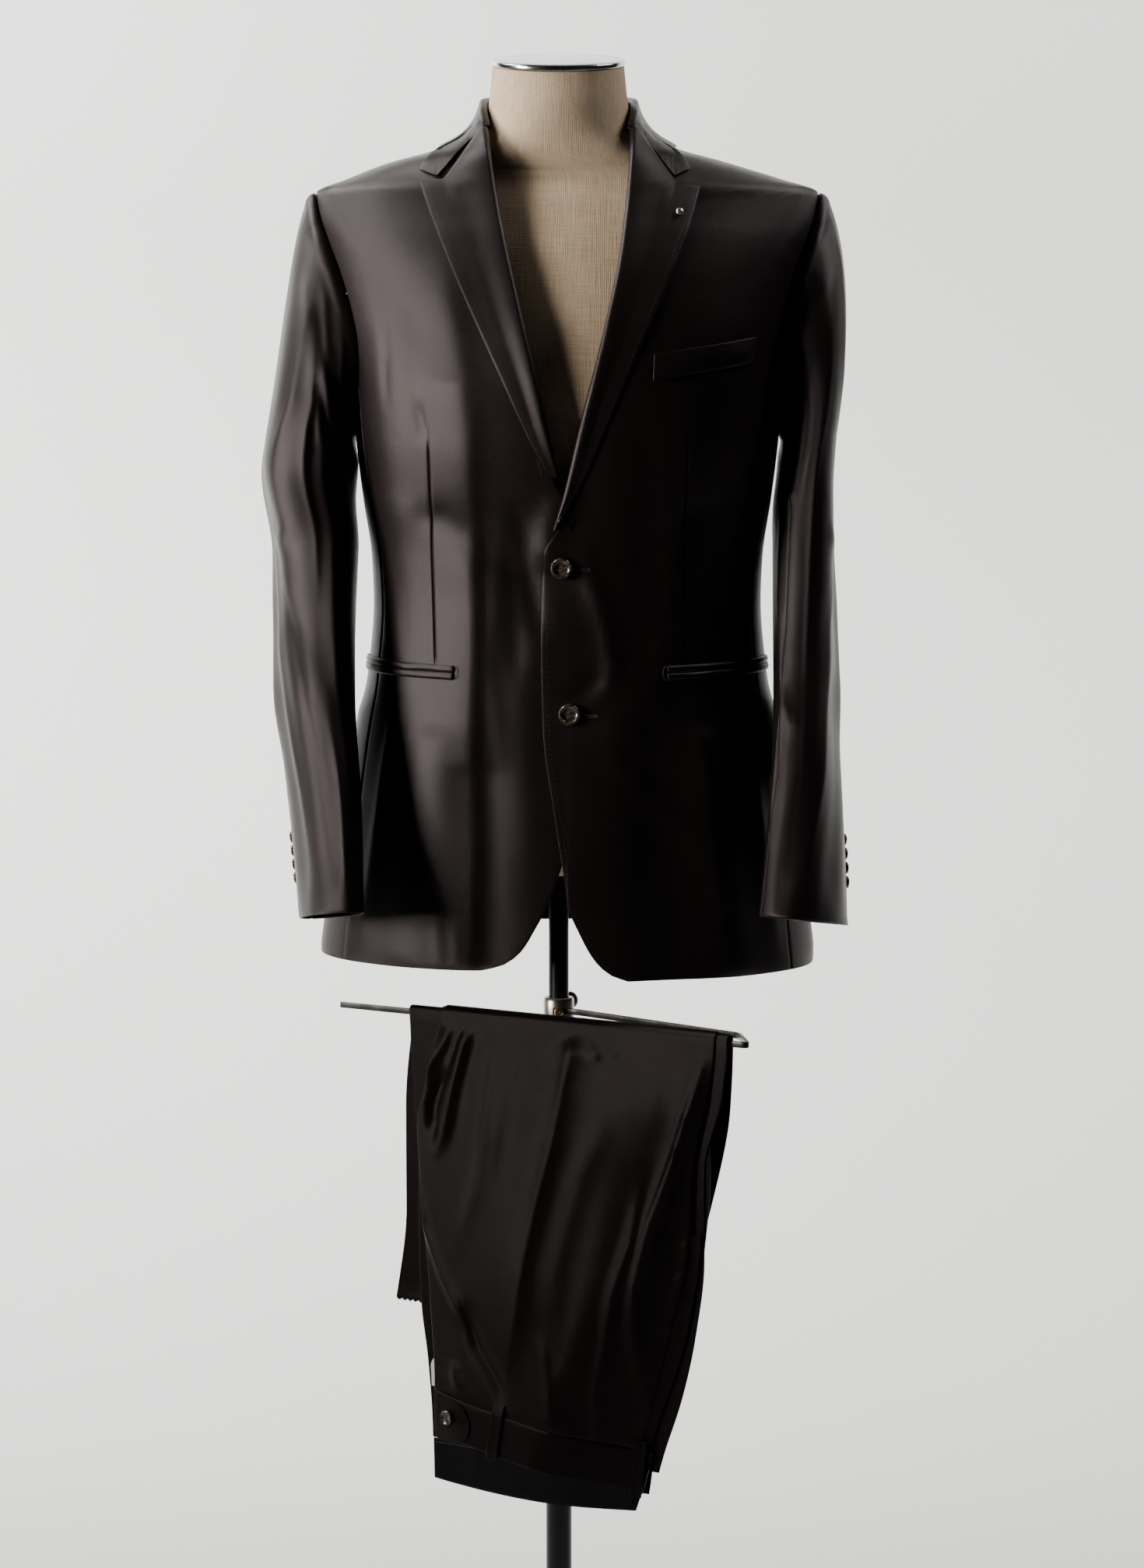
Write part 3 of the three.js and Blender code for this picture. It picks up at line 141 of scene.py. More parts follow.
class Surface:
    def __init__(self, at, folds, du, dv, low, high, faces=1):
        self.at, self.folds, self.faces = at, folds, faces
        self.du, self.dv, self.low, self.high = du, dv, low, high

    def normal(self, u, v):
        lower = np.maximum(v - self.dv, self.low)
        upper = np.minimum(v + self.dv, self.high)
        across = self.at(u + self.du, v) - self.at(u - self.du, v)
        along = self.at(u, upper) - self.at(u, lower)
        return self.faces * unit(np.cross(across, along))

    # points of the surface with its folds, and the way out at each
    def lay(self, u, v, out=0.0):
        u, v, out = np.broadcast_arrays(np.asarray(u, float), np.asarray(v, float), out)
        normals = self.normal(u, v)
        return self.at(u, v) + normals * (out + self.folds(u, v))[..., None], normals


# the distances of a grid's points from its four borders, measured on the cloth
def measure(points):
    left = np.cumsum(np.linalg.norm(np.diff(points, axis=1), axis=2), 1)
    left = np.pad(left, ((0, 0), (1, 0)))
    bottom = np.cumsum(np.linalg.norm(np.diff(points, axis=0), axis=2), 0)
    bottom = np.pad(bottom, ((1, 0), (0, 0)))
    return {"left": left, "right": left[:, -1:] - left,
            "bottom": bottom, "top": bottom[-1:] - bottom}


# steps from 0 to 1 that lie close together at the ends, where an edge is turned
def spaced(count, length, start=True, end=True, close=(0.7, 1.5, 2.6)):
    even = np.linspace(0, 1, count + 1)[1:-1]
    near = np.array(close) / length
    even = even[(even > near[-1] * 1.5) | (not start)]
    even = even[(even < 1 - near[-1] * 1.5) | (not end)]
    parts = [[0.0], near if start else [], even, 1 - near[::-1] if end else [], [1.0]]
    return np.concatenate(parts)


# making pieces
def meshOf(bm, name):
    mesh = bpy.data.meshes.new(name)
    bm.to_mesh(mesh)
    bm.free()
    return mesh


def linked(name, data):
    made = bpy.data.objects.new(name, data)
    bpy.context.scene.collection.objects.link(made)
    return made


def pieceOf(mesh, name, materials):
    for material in materials:
        mesh.materials.append(material)
    return linked(name, mesh)


# an object's mesh with its modifiers or its bevel applied, and no material
def evaluated(piece, name):
    bpy.context.view_layer.update()
    mesh = bpy.data.meshes.new_from_object(
        piece.evaluated_get(bpy.context.evaluated_depsgraph_get()))
    mesh.name = name
    mesh.materials.clear()
    return mesh


# a flat grid whose vertices go to the given points; its UV map is the flat cloth in metres
def gridMesh(name, points, normals):
    rows, columns = points.shape[0] - 1, points.shape[1] - 1
    bm = bmesh.new()
    bmesh.ops.create_grid(bm, x_segments=columns, y_segments=rows, size=0.5, calc_uvs=True)
    mesh = meshOf(bm, name)
    co = np.empty(len(mesh.vertices) * 3)
    mesh.vertices.foreach_get("co", co)
    co = co.reshape(-1, 3)
    i = np.rint((co[:, 0] + 0.5) * columns).astype(int)
    j = np.rint((co[:, 1] + 0.5) * rows).astype(int)
    mesh.vertices.foreach_set("co", (points[j, i] * mm).ravel())
    away = measure(points)
    middle = away["left"] - away["left"][:, -1:] / 2
    flat = np.stack([middle[j, i], away["bottom"][j, i]], 1) * mm
    corner = np.empty(len(mesh.loops), int)
    mesh.loops.foreach_get("vertex_index", corner)
    layer = mesh.uv_layers[0] if mesh.uv_layers else mesh.uv_layers.new(name="flat")
    layer.name = "flat"
    layer.data.foreach_set("uv", flat[corner].ravel())
    mesh.update()
    facing = np.empty(len(mesh.vertices) * 3)
    mesh.vertices.foreach_get("normal", facing)
    if (facing.reshape(-1, 3) * normals[j, i]).sum() < 0:
        mesh.flip_normals()
    mesh.shade_smooth()
    return mesh


def bevelled(piece, width, segments=3, angle=35):
    edge = piece.modifiers.new("edge", "BEVEL")
    edge.width, edge.segments, edge.limit_method = width * mm, segments, "ANGLE"
    edge.angle_limit = math.radians(angle)


def place(piece, body, slot, node=None):
    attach(piece, body)
    if node:
        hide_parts(node)


grids = {}      # the finished points of each cloth, and the ways out at them


# a piece of cloth: its grid with its relief and a wall to the inside; the flat size and area it was
# cut to are worked out but not used
def cloth(name, points, normals, relief, how, node, restsOn="torso", **changes):
    how = {**how, **changes}
    points = points + normals * (relief + np.zeros(points.shape[:2]))[..., None]
    grids[name] = (points, normals)
    piece = pieceOf(gridMesh(name, points, normals), name, how["materials"])
    wall = piece.modifiers.new("wall", "SOLIDIFY")
    wall.thickness, wall.offset, wall.material_offset = how["wall"] * mm, -1, how["inner"]
    bevelled(piece, how["round"], 2, 55)
    place(piece, how["body"], how["slot"], node)
    away = measure(points)
    width, length = away["left"].max() * mm, away["bottom"].max() * mm
    a, b, c, d = points[:-1, :-1], points[:-1, 1:], points[1:, 1:], points[1:, :-1]
    area = 0.5 * np.linalg.norm(np.cross(c - a, d - b), axis=-1).sum() * mm * mm
    round(min(area, 0.999 * width * length), 5)


# dark threads along lines of points, all in one mesh
def threads(name, lines, radius, body):
    curve = bpy.data.curves.new(name, "CURVE")
    curve.dimensions, curve.bevel_depth = "3D", radius * mm
    curve.bevel_resolution, curve.use_fill_caps = 0, True
    for line in lines:
        spline = curve.splines.new("POLY")
        spline.points.add(len(line) - 1)
        for point, spot in zip(spline.points, np.asarray(line) * mm):
            point.co = (*spot, 1)
    holder = linked(name + "Line", curve)
    mesh = evaluated(holder, name)
    bpy.data.objects.remove(holder)
    mesh.shade_smooth()
    slot = "jacket_satin" if body == "form" else "trouser_satin"
    place(pieceOf(mesh, name, [finish["darkThread"]]), body, slot)


# a turned piece: a half profile of radius and height, spun about +Z
def turnedMesh(name, profile, steps=64):
    bm = bmesh.new()
    verts = [bm.verts.new((radius * mm, 0, height * mm)) for radius, height in profile]
    edges = [bm.edges.new(pair) for pair in zip(verts[:-1], verts[1:])]
    bmesh.ops.spin(bm, geom=verts + edges, axis=(0, 0, 1), cent=(0, 0, 0), angle=math.tau,
                   steps=steps, use_merge=True)
    bmesh.ops.remove_doubles(bm, verts=bm.verts, dist=1e-6)
    bmesh.ops.recalc_face_normals(bm, faces=bm.faces)
    mesh = meshOf(bm, name)
    mesh.shade_smooth()
    return mesh


# shader graphs, written as sums of sockets
class Term:
    def __init__(self, graph, socket):
        self.graph, self.socket = graph, socket

    def math(self, operation, a, b=0.0):
        return self.graph.node("Math", {"operation": operation}, {0: a, 1: b})

    def __add__(self, other): return self.math("ADD", self, other)
    def __radd__(self, other): return self.math("ADD", other, self)
    def __sub__(self, other): return self.math("SUBTRACT", self, other)
    def __rsub__(self, other): return self.math("SUBTRACT", other, self)
    def __mul__(self, other): return self.math("MULTIPLY", self, other)
    def __rmul__(self, other): return self.math("MULTIPLY", other, self)
    def sine(self): return self.math("SINE", self)

    # 0 below low, 1 above high, soft between
    def step(self, low, high):
        return self.graph.node("MapRange", {"interpolation_type": "SMOOTHSTEP"},
                               {"Value": self, "From Min": low, "From Max": high})


class Graph:
    def __init__(self, name):
        self.material = bpy.data.materials.new(name)
        self.material.use_nodes = True
        self.tree = self.material.node_tree
        self.tree.nodes.clear()

    # one node of a type: its settings first, then the values or links of its sockets
    def node(self, kind, settings=None, sockets=None, out=0):
        made = self.tree.nodes.new("ShaderNode" + kind)
        for name, value in (settings or {}).items():
            if name == "stops":
                ramp = made.color_ramp
                while len(ramp.elements) < len(value):
                    ramp.elements.new(0.5)
                for element, (position, color) in zip(ramp.elements, value):
                    element.position, element.color = position, (*color, 1)
            else:
                setattr(made, name, value)
        for name, value in (sockets or {}).items():
            if isinstance(value, Term):
                self.tree.links.new(value.socket, made.inputs[name])
            else:
                made.inputs[name].default_value = value
        return Term(self, made.outputs[out]) if made.outputs else None

    def coordinates(self, which):
        source = self.node("TexCoord", out=which)
        split = self.tree.nodes.new("ShaderNodeSeparateXYZ")
        self.tree.links.new(source.socket, split.inputs[0])
        return source, [Term(self, output) for output in split.outputs]

    def noise(self, vector, scale, detail=2.0, roughness=0.5):
        return self.node("TexNoise", {}, {
            "Vector": vector, "Scale": scale, "Detail": detail, "Roughness": roughness})

    def stretched(self, vector, x, y, z=1.0):
        return self.node("Mapping", {"vector_type": "POINT"},
                         {"Vector": vector, "Scale": (x, y, z)})

    def colors(self, factor, a, b):
        mixer = self.tree.nodes.new("ShaderNodeMix")
        mixer.data_type = "RGBA"
        self.tree.links.new(factor.socket, mixer.inputs[0])
        mixer.inputs[6].default_value, mixer.inputs[7].default_value = (*a, 1), (*b, 1)
        return Term(self, mixer.outputs[2])

    def bump(self, height, distance):
        return self.node("Bump", {}, {"Height": height, "Distance": distance * mm})

    def finish(self, sockets):
        shader = self.node("BsdfPrincipled", {}, sockets)
        self.node("OutputMaterial", {}, {"Surface": shader})
        return self.material


# smooth suiting with a satin face: fine warp lines, slubs along the weft and a soft sheen
def suiting(name, how):
    g = Graph(name)
    source, (u, v, _) = g.coordinates("UV")
    warp = (u * how["ends"] * math.tau).sine()
    weft = ((v + u * 0.35) * how["picks"] * math.tau).sine()
    slubs = g.noise(g.stretched(source, how["slub"][0], how["slub"][1]), 1.0, 3.0)
    streaks = g.noise(g.stretched(source, how["slub"][1], how["slub"][0] * 0.6), 1.0, 2.0)
    cloudy = g.noise(source, 14.0, 3.0)
    shade = (slubs * 0.5 + streaks * 0.2 + cloudy * 0.3).step(0.35, 0.65)
    height = warp * 0.25 + weft * 0.25 + (slubs - 0.5) * 1.6
    return g.finish({
        "Base Color": g.colors(shade, how["dark"], how["light"]),
        "Roughness": cloudy * 0.05 + slubs * 0.06 + how["roughness"],
        "Specular IOR Level": how["specular"], "Specular Tint": (1, 0.86, 0.85, 1),
        "Anisotropic": how["anisotropic"], "Sheen Weight": how["sheen"],
        "Sheen Roughness": 0.35, "Sheen Tint": (0.7, 0.6, 0.62, 1),
        "Normal": g.bump(height, how["bump"])})


# plain woven linen stretched over the form, with thick and thin threads
def linen(name, how):
    g = Graph(name)
    source, (x, y, _) = g.coordinates("UV")
    warp = (x * how["threads"] * math.tau).sine()
    weft = (y * how["threads"] * math.tau).sine()
    across = g.noise(g.stretched(source, 30, 900), 1.0, 3.0)
    down = g.noise(g.stretched(source, 900, 30), 1.0, 3.0)
    cloudy = g.noise(source, 9.0, 4.0)
    thread = (across + down) * 0.5
    shade = (thread * 0.65 + cloudy * 0.35).step(0.3, 0.7)
    height = warp * 0.2 + weft * 0.2 + (across - 0.5) * 1.5 + (down - 0.5) * 1.5
    return g.finish({
        "Base Color": g.colors(shade, how["dark"], how["light"]),
        "Roughness": cloudy * 0.1 + 0.82, "Specular IOR Level": 0.25,
        "Sheen Weight": 0.15, "Sheen Roughness": 0.5, "Normal": g.bump(height, how["bump"])})


# horn-like resin: cloudy brown streaks under a clear gloss
def horn(name, how):
    g = Graph(name)
    source, _ = g.coordinates("Object")
    streaks = g.noise(g.stretched(source, 160, 160, 420), 1.0, 4.0, 0.65)
    return g.finish({
        "Base Color": g.colors(streaks.step(0.4, 0.68), how["dark"], how["light"]),
        "Roughness": streaks * 0.12 + how["roughness"], "Coat Weight": 0.4, "Coat Roughness": 0.08,
        "Normal": g.bump(streaks, 0.02)})


# metal or paint with a fine grain and faint handling marks
def hardFinish(name, how):
    g = Graph(name)
    source, _ = g.coordinates("Object")
    grain = g.noise(g.stretched(source, *how["grain"]), 1.0, 2.0)
    marks = g.noise(source, how["marks"], 4.0, 0.6)
    return g.finish({
        "Base Color": g.colors(marks.step(0.35, 0.7), how["dark"], how["light"]),
        "Metallic": how["metallic"], "Roughness": grain * 0.08 + marks * 0.1 + how["roughness"],
        "Specular IOR Level": how.get("specular", 0.5), "Normal": g.bump(grain, how["bump"])})


# sewing thread with its twist
def twisted(name, how):
    g = Graph(name)
    _, (x, y, z) = g.coordinates("Object")
    twist = ((x + y * 0.6 + z) * (math.tau / how["pitch"])).sine()
    return g.finish({
        "Base Color": g.colors(twist * 0.5 + 0.5, how["dark"], how["light"]),
        "Roughness": how["roughness"], "Sheen Weight": 0.2, "Normal": g.bump(twist, 0.05)})


finish = {
    "jacket": suiting("jacketSatin", {
        "dark": (0.0046, 0.0024, 0.0025), "light": (0.0084, 0.0048, 0.0050), "roughness": 0.27,
        "specular": 0.26, "anisotropic": 0.4, "sheen": 0.03,
        "ends": 2600, "picks": 2200, "slub": (35, 1500), "bump": 0.05}),
    # painted shade: the trousers are cut from the jacket's satin, but this copy has a darker base
    # colour, far lower specular and no sheen, so they come out darker, as if less of the key light
    # reached them
    "trousers": suiting("trouserSatinPaintedShade", {
        "dark": (0.0034, 0.0020, 0.0021), "light": (0.0062, 0.0038, 0.0040), "roughness": 0.19,
        "specular": 0.07, "anisotropic": 0.4, "sheen": 0.0,
        "ends": 2600, "picks": 2200, "slub": (35, 1500), "bump": 0.05}),
    "lining": suiting("lining", {
        "dark": (0.0008, 0.0010, 0.0016), "light": (0.0015, 0.0018, 0.0028), "roughness": 0.34,
        "specular": 0.1, "anisotropic": 0.3, "sheen": 0.0,
        "ends": 3000, "picks": 3000, "slub": (30, 900), "bump": 0.03}),
    "linen": linen("linen", {
        "dark": (0.285, 0.197, 0.116), "light": (0.49, 0.365, 0.246), "threads": 900,
        "bump": 0.22}),
    "horn": horn("horn", {
        "dark": (0.012, 0.008, 0.006), "light": (0.075, 0.050, 0.034), "roughness": 0.2}),
    "chrome": hardFinish("chrome", {
        "dark": (0.66, 0.67, 0.68), "light": (0.78, 0.79, 0.80), "metallic": 1.0, "roughness": 0.06,
        "grain": (30, 30, 30), "marks": 40.0, "bump": 0.004}),
    "nickel": hardFinish("nickel", {
        "dark": (0.40, 0.37, 0.32), "light": (0.55, 0.52, 0.46), "metallic": 1.0, "roughness": 0.24,
        "grain": (60, 60, 1400), "marks": 60.0, "bump": 0.01}),
    "brass": hardFinish("brass", {
        "dark": (0.50, 0.33, 0.13), "light": (0.66, 0.46, 0.21), "metallic": 1.0, "roughness": 0.24,
        "grain": (300, 300, 300), "marks": 90.0, "bump": 0.01}),
    "blackSteel": hardFinish("blackSteel", {
        "dark": (0.004, 0.004, 0.005), "light": (0.008, 0.008, 0.009), "metallic": 0.0,
        "roughness": 0.22, "specular": 0.22, "grain": (900, 900, 30), "marks": 30.0,
        "bump": 0.008}),
    "gunmetal": hardFinish("gunmetal", {
        "dark": (0.055, 0.050, 0.046), "light": (0.10, 0.093, 0.086), "metallic": 1.0,
        "roughness": 0.26, "grain": (80, 80, 1200), "marks": 50.0, "bump": 0.01}),
    "zipTape": linen("zipTape", {
        "dark": (0.42, 0.40, 0.34), "light": (0.58, 0.56, 0.50), "threads": 2200, "bump": 0.1}),
    "darkThread": twisted("darkThread", {
        "dark": (0.014, 0.0098, 0.0098), "light": (0.020, 0.014, 0.014), "pitch": 0.0007,
        "roughness": 0.55}),
}
print("finishes made:", len(finish))


# the jacket's body as rings, closing quickly above the shoulder tip
bodyRing = readers("middle halfWidth front back power", [
    (770, 8, 228, 140, 142, 2.05), (840, 8, 219, 139, 137, 2.05), (900, 8, 210, 137, 131, 2.1),
    (980, 8, 196, 132, 120, 2.25), (1050, 8, 183, 127, 108, 2.3),
    (1115, 8, 177.5, 125.5, 101, 2.3), (1154, 8, 179, 127.6, 102, 2.3),
    (1206, 8, 186.5, 133, 107, 2.35), (1262, 8, 193, 139.3, 113, 2.4),
    (1300, 8, 196, 141, 116, 2.4), (1345, 8, 201, 136, 117, 2.4), (1400, 8, 215, 122, 113, 2.3),
    (1440, 8, 226, 107, 107, 2.25), (1460, 8, 229.5, 98, 102, 2.2), (1483, 8, 228, 88, 95, 2.2),
    (1495, 5, 197, 84, 91, 2.2), (1510, 0, 152, 80, 86, 2.2), (1521, 0, 111, 77, 83, 2.2),
    (1532, 0, 87, 75, 80, 2.2), (1545, 0, 69, 74, 78, 2.2)
])

# u is the angle in hundredths of a radian from the centre front, v the height
bodyFolds = [
    (-70, 800, -62, 990, 14, 4), (-34, 790, -38, 960, 13, -3.5), (42, 785, 40, 960, 13, -3.5),
    (72, 790, 64, 990, 14, 4.5), (22, 1000, 46, 1085, 12, 3), (-12, 1140, -60, 1190, 14, -2.5),
    (14, 1140, 60, 1195, 14, -2.5), (-150, 800, -140, 1010, 18, 3.5),
    (150, 800, 140, 1010, 18, 3.5), (-240, 1200, -205, 1330, 20, 3), (240, 1200, 205, 1330, 20, 3)
]
bodyCreases = [
    (13, 4.2, 1.5, -0.66, [(-33, 1330), (-40, 1230), (-43, 1140), (-41, 1033), (-39, 925),
                           (-38, 560)]),
    (11, 2.4, 1.7, -0.3, [(-50, 1450), (-44, 1360), (-40, 1270), (-38, 1180)]),
    (5, -1.6, 1.8, [(-25, 1190), (-22, 1120), (-19, 1030)]),
    (7, 1.1, 1.8, [(-10, 1120), (-17, 1050), (-16, 960), (-14, 860)]),
    (5, -2.8, 1.8, [(-19, 1214), (-16, 1150), (-9, 1075)]),
    (5, 3.4, 2.0, [(0, 1222), (-5, 1186), (-8, 1140)]),
    (4, -0.9, 2.0, [(-79, 1410), (-90, 1326), (-92, 1280)]),
    (4, -1.0, 2.0, [(-63, 1385), (-70, 1298), (-66, 1255)]),
    (3.5, -1.5, 2.0, [(-68, 1296), (-64, 1256)]),
    (4, 3.2, 1.6, [(4, 1160), (14.5, 1098), (17.5, 1062), (15.5, 1037), (5, 1020)]),
    (4, -2.0, 2.0, [(13, 1056), (8, 1044), (-1, 1026)]),
    (7, 1.7, 2.0, [(6, 1006), (19.5, 976), (36.5, 940), (56, 895)]),
    (5, 1.2, 2.0, [(-2, 1184), (8, 1146), (14, 1105)]),
    (4, 0.8, 1.6, [(-30, 1180), (-34, 1060), (-24, 960)]),
    (9, 1.8, 1.6, 0.4, [(58, 1110), (63, 960), (68, 760)]),
    (5, 1.2, 2.0, [(40, 1240), (50, 1150), (46, 1080)]),
    (5, -1.0, 2.0, [(80, 1250), (74, 1130), (72, 1040)]),
    (7, 1.5, 1.8, 0.3, [(-92, 1070), (-96, 930), (-99, 780)]),
    (7, 1.5, 1.8, -0.3, [(96, 1070), (99, 930), (102, 780)]),
    (3, 0.8, 1.8, [(-56, 850), (-52, 800), (-54, 770)]),
    (3, 0.7, 1.8, [(-47, 840), (-44, 800), (-45, 770)]),
    (8, 1.6, 1.8, [(-180, 1100), (-176, 950), (-178, 780)]),
    (9, -1.4, 1.8, [(200, 1060), (197, 900), (195, 780)]),
    (9, -1.4, 1.8, [(-200, 1060), (-207, 900), (-208, 780)]),
    (7, 1.4, 1.8, [(262, 1190), (284, 1160), (305, 1128)]),
    (7, 1.3, 1.8, [(-256, 1188), (-282, 1152), (-304, 1124)]),
    (7, -1.2, 1.8, [(236, 1126), (262, 1108), (290, 1080)]),
    (8, 1.5, 1.8, [(290, 1450), (262, 1424), (238, 1396)]),
    (8, 1.5, 1.8, [(-290, 1450), (-264, 1422), (-238, 1394)]),
    (7, 1.5, 1.8, [(222, 1300), (204, 1262), (188, 1212)]),
    (7, 1.5, 1.8, [(-222, 1296), (-202, 1256), (-188, 1214)]),
]


def ringPoint(ring, angle, z):
    power = 2 / ring["power"]
    across = np.sign(np.sin(angle)) * np.abs(np.sin(angle)) ** power
    ahead = np.sign(np.cos(angle)) * np.abs(np.cos(angle)) ** power
    depth = np.where(ahead > 0, ring["front"], ring["back"])
    return stack(ring["middle"] + ring["halfWidth"] * across, -depth * ahead, z)


def bodyRelief(angle, z):
    fade = smooth(1350 - z, 0, 60)
    ripple = 0.22 * wander(angle * 13 + 0.004 * z, 1.7) * wander(z / 58 + angle * 2, 0.4)
    return (foldHeight(bodyFolds, angle * 100, z) * fade + creaseHeight(bodyCreases, angle * 100, z)
            + ripple * smooth(1470 - z, 0, 90))


body = Surface(lambda angle, z: ringPoint(readAll(bodyRing, z), angle, z), bodyRelief,
               du=0.01, dv=0.5, low=760, high=1545)


# the angle at which the front of the body has this x
def angleAt(x, z):
    share = (x - bodyRing["middle"](z)) / bodyRing["halfWidth"](z)
    bounded = np.clip(np.abs(share), 0, 1) ** (bodyRing["power"](z) / 2)
    return np.sign(share) * np.arcsin(bounded)


hands = {"right": -1, "left": 1}
hem = {"right": 789, "left": 780, "back": 799}
armhole = {"top": 1483, "bottom": 1262, "forward": 0.40, "backward": 0.44}
# turns from the shoulder tip at even steps round the armhole
armholeTurns = [
    0, 9, 21, 37, 55, 76, 99, 124, 146, 164, 180, 196, 214, 236, 261, 284, 305, 323, 339, 351, 360]
frontSeam, backSeam, shoulder = 7, 13, 20     # steps where the panels meet
sideSeam = {"front": 64, "back": 114}         # degrees from the centre front, at the hem
neckShare = 1 / 3                             # the share of a panel's width that is on the neck


def armholeSpot(hand, turn):
    reach = np.where(np.sin(turn) > 0, armhole["forward"], armhole["backward"])
    middle = (armhole["top"] + armhole["bottom"]) / 2
    half = (armhole["top"] - armhole["bottom"]) / 2
    return hand * (np.pi / 2 - reach * np.sin(turn)), middle + half * np.cos(turn)


def armholeTurn(step):
    return np.interp(step, np.arange(len(armholeTurns)), armholeTurns)


def armholePoint(hand, step):
    return armholeSpot(hand, np.radians(armholeTurn(step)))


seamTop = float(armholePoint(1, frontSeam)[1])

frontEdge = {
    "right": readers("x", [
        (789, -69), (794, -50), (807, -33), (828, -20), (845, -11), (865, -3), (890, 5), (930, 12),
        (980, 16), (1190, 16), (1225, -4), (1287, -17), (1377, -38), (1455, -55),
        (1513, -62)])["x"],
    "left": readers("x", [
        (780, 62), (787, 45), (801, 31), (825, 18), (846, 9), (880, 3), (927, -4), (994, -13),
        (1072, -15), (1159, -12), (1180, 0), (1206, 8), (1270, 24), (1357, 45), (1431, 60),
        (1513, 69)])["x"],
}
necklineZ = readers("z", [(22, 1513), (38, 1521), (60, 1529), (90, 1539), (120, 1541), (150, 1541),
                          (180, 1541)])["z"]
gorgeZ = 1513
overlap = {"lift": 3, "full": 45, "none": 85, "fadeFrom": 1250, "fadeTo": 1300}
vent = {"top": 1035, "spring": 7, "over": 120}


def hemHeight(angle):
    front = np.where(angle < 0, hem["right"], hem["left"])
    return mix(front, hem["back"], smooth(np.abs(angle), math.radians(75), math.radians(150)))


# the two fronts meet over each other, the wearer's left one on top
def overlapLift(hand, x, z):
    if hand < 0:
        return np.zeros(np.broadcast(x, z).shape)
    return (overlap["lift"] * (1 - smooth(x, overlap["full"], overlap["none"]))
            * (1 - smooth(z, overlap["fadeFrom"], overlap["fadeTo"])))


def sideSeams(hand, share):
    front = armholePoint(hand, frontSeam)[0]
    back = armholePoint(hand, backSeam)[0]
    return (mix(hand * math.radians(sideSeam["front"]), front, share),
            mix(hand * math.radians(sideSeam["back"]), back, share))


def turnShare(step):
    turn = armholeTurn(step)
    return 1 - np.minimum(turn, 360 - turn) / armholeTurns[frontSeam]


# the upper border: round the neck for some of the width, then down the shoulder seam to its tip
def neckAndShoulder(hand, s, fromAngle):
    angle = mix(fromAngle, 90, np.minimum(s / neckShare, 1))
    down = np.clip((s - neckShare) / (1 - neckShare), 0, 1)
    onNeck = s <= neckShare
    u = np.where(onNeck, hand * np.radians(angle), hand * np.pi / 2)
    return u, np.where(onNeck, necklineZ(angle), mix(necklineZ(90.0), armhole["top"], down))


# above the side seams the rows follow the armhole on one side
def upperSpot(start, end, hand, step, fromStep, toStep, t, s):
    hole = armholePoint(hand, step)
    low, high = armholePoint(hand, fromStep), armholePoint(hand, toStep)
    return [mix(start[k], end[k], t) + (hole[k] - mix(low[k], high[k], t)) * s ** 1.5
            for k in range(2)]


# rows of a body panel: shares of the height below the seams' top, then steps round the armhole
def bodyRows(lower, upper):
    shares = spaced(lower, 520, end=False)
    steps = np.linspace(0, 1, upper + 1)[1:]
    return (np.concatenate([shares, np.ones(upper)])[:, None],
            np.concatenate([np.zeros(len(shares)), steps])[:, None])


def bodyOut(hand, angle, z):
    x = body.at(angle, z)[..., 0]
    return np.where(np.abs(angle) < 1, overlapLift(hand, x, z), 0)


dart = {"low": 1063, "high": 1273, "lowX": 109, "highX": 115, "column": 0.42, "deep": 1.1,
        "wide": 0.9}


# the columns are drawn in and out so that one of them follows the dart
def followDart(side, columns, share, start, end):
    z = np.clip(mix(hem[side], seamTop, share), dart["low"], dart["high"])
    up = (z - dart["low"]) / (dart["high"] - dart["low"])
    x = hands[side] * mix(dart["lowX"], dart["highX"], up)
    at = np.clip((angleAt(x, z) - start) / (end - start), 0.2, 0.7)
    before = at * columns / dart["column"]
    after = at + (1 - at) * (columns - dart["column"]) / (1 - dart["column"])
    return np.where(columns <= dart["column"], before, after)


def frontSpots(side, columns, share, up):
    hand = hands[side]
    edge = frontEdge[side]
    gorge = float(np.degrees(angleAt(edge(gorgeZ), gorgeZ)))
    startZ = mix(hem[side], seamTop, share)
    start = angleAt(edge(startZ), startZ)
    end = sideSeams(hand, share)[0]
    s = followDart(side, columns, share, start, end)
    low = mix(start, end, s)
    low = (low, mix(hemHeight(low), seamTop, share))
    step = mix(frontSeam, 0, up)
    t = turnShare(step)
    top = neckAndShoulder(hand, s, gorge * hand)
    high = upperSpot(low, top, hand, step, frontSeam, 0, t, s)
    z = mix(seamTop, gorgeZ, t)
    straight = mix(angleAt(edge(seamTop), seamTop), math.radians(gorge), t)
    high[0] = high[0] + (angleAt(edge(z), z) - straight) * (1 - s) ** 1.5
    return [np.where(up > 0, b, a) for a, b in zip(low, high)]


def sideSpots(side, s, share):
    hand = hands[side]
    top = armholePoint(hand, mix(frontSeam, backSeam, s))
    front, back = sideSeams(hand, share)
    angle = mix(mix(front, back, s), top[0], share ** 3)
    return angle, mix(hemHeight(angle), top[1], share)


def backSpots(side, s, share, up):
    hand = hands[side]
    angle = mix(hand * np.pi, sideSeams(hand, share)[1], s)
    low = (angle, mix(hemHeight(angle), seamTop, share))
    step = mix(backSeam, shoulder, up)
    t = turnShare(step)
    top = neckAndShoulder(hand, s, 180)
    high = upperSpot(low, top, hand, step, backSeam, shoulder, t, s)
    return [np.where(up > 0, b, a) for a, b in zip(low, high)]


# a sewn seam lies in a small groove and draws the cloth a little along it
def seamGroove(away, along, seed, deep=0.8):
    return 0.16 * wander(along / 5.5, seed) * bell(away, 9) - deep * bell(away, 1.3)


jacketCloth = {
    "materials": [finish["jacket"], finish["lining"]], "inner": 1, "wall": 1.7, "round": 0.5,
    "body": "form", "slot": "jacket_satin", "held": "draped",
}


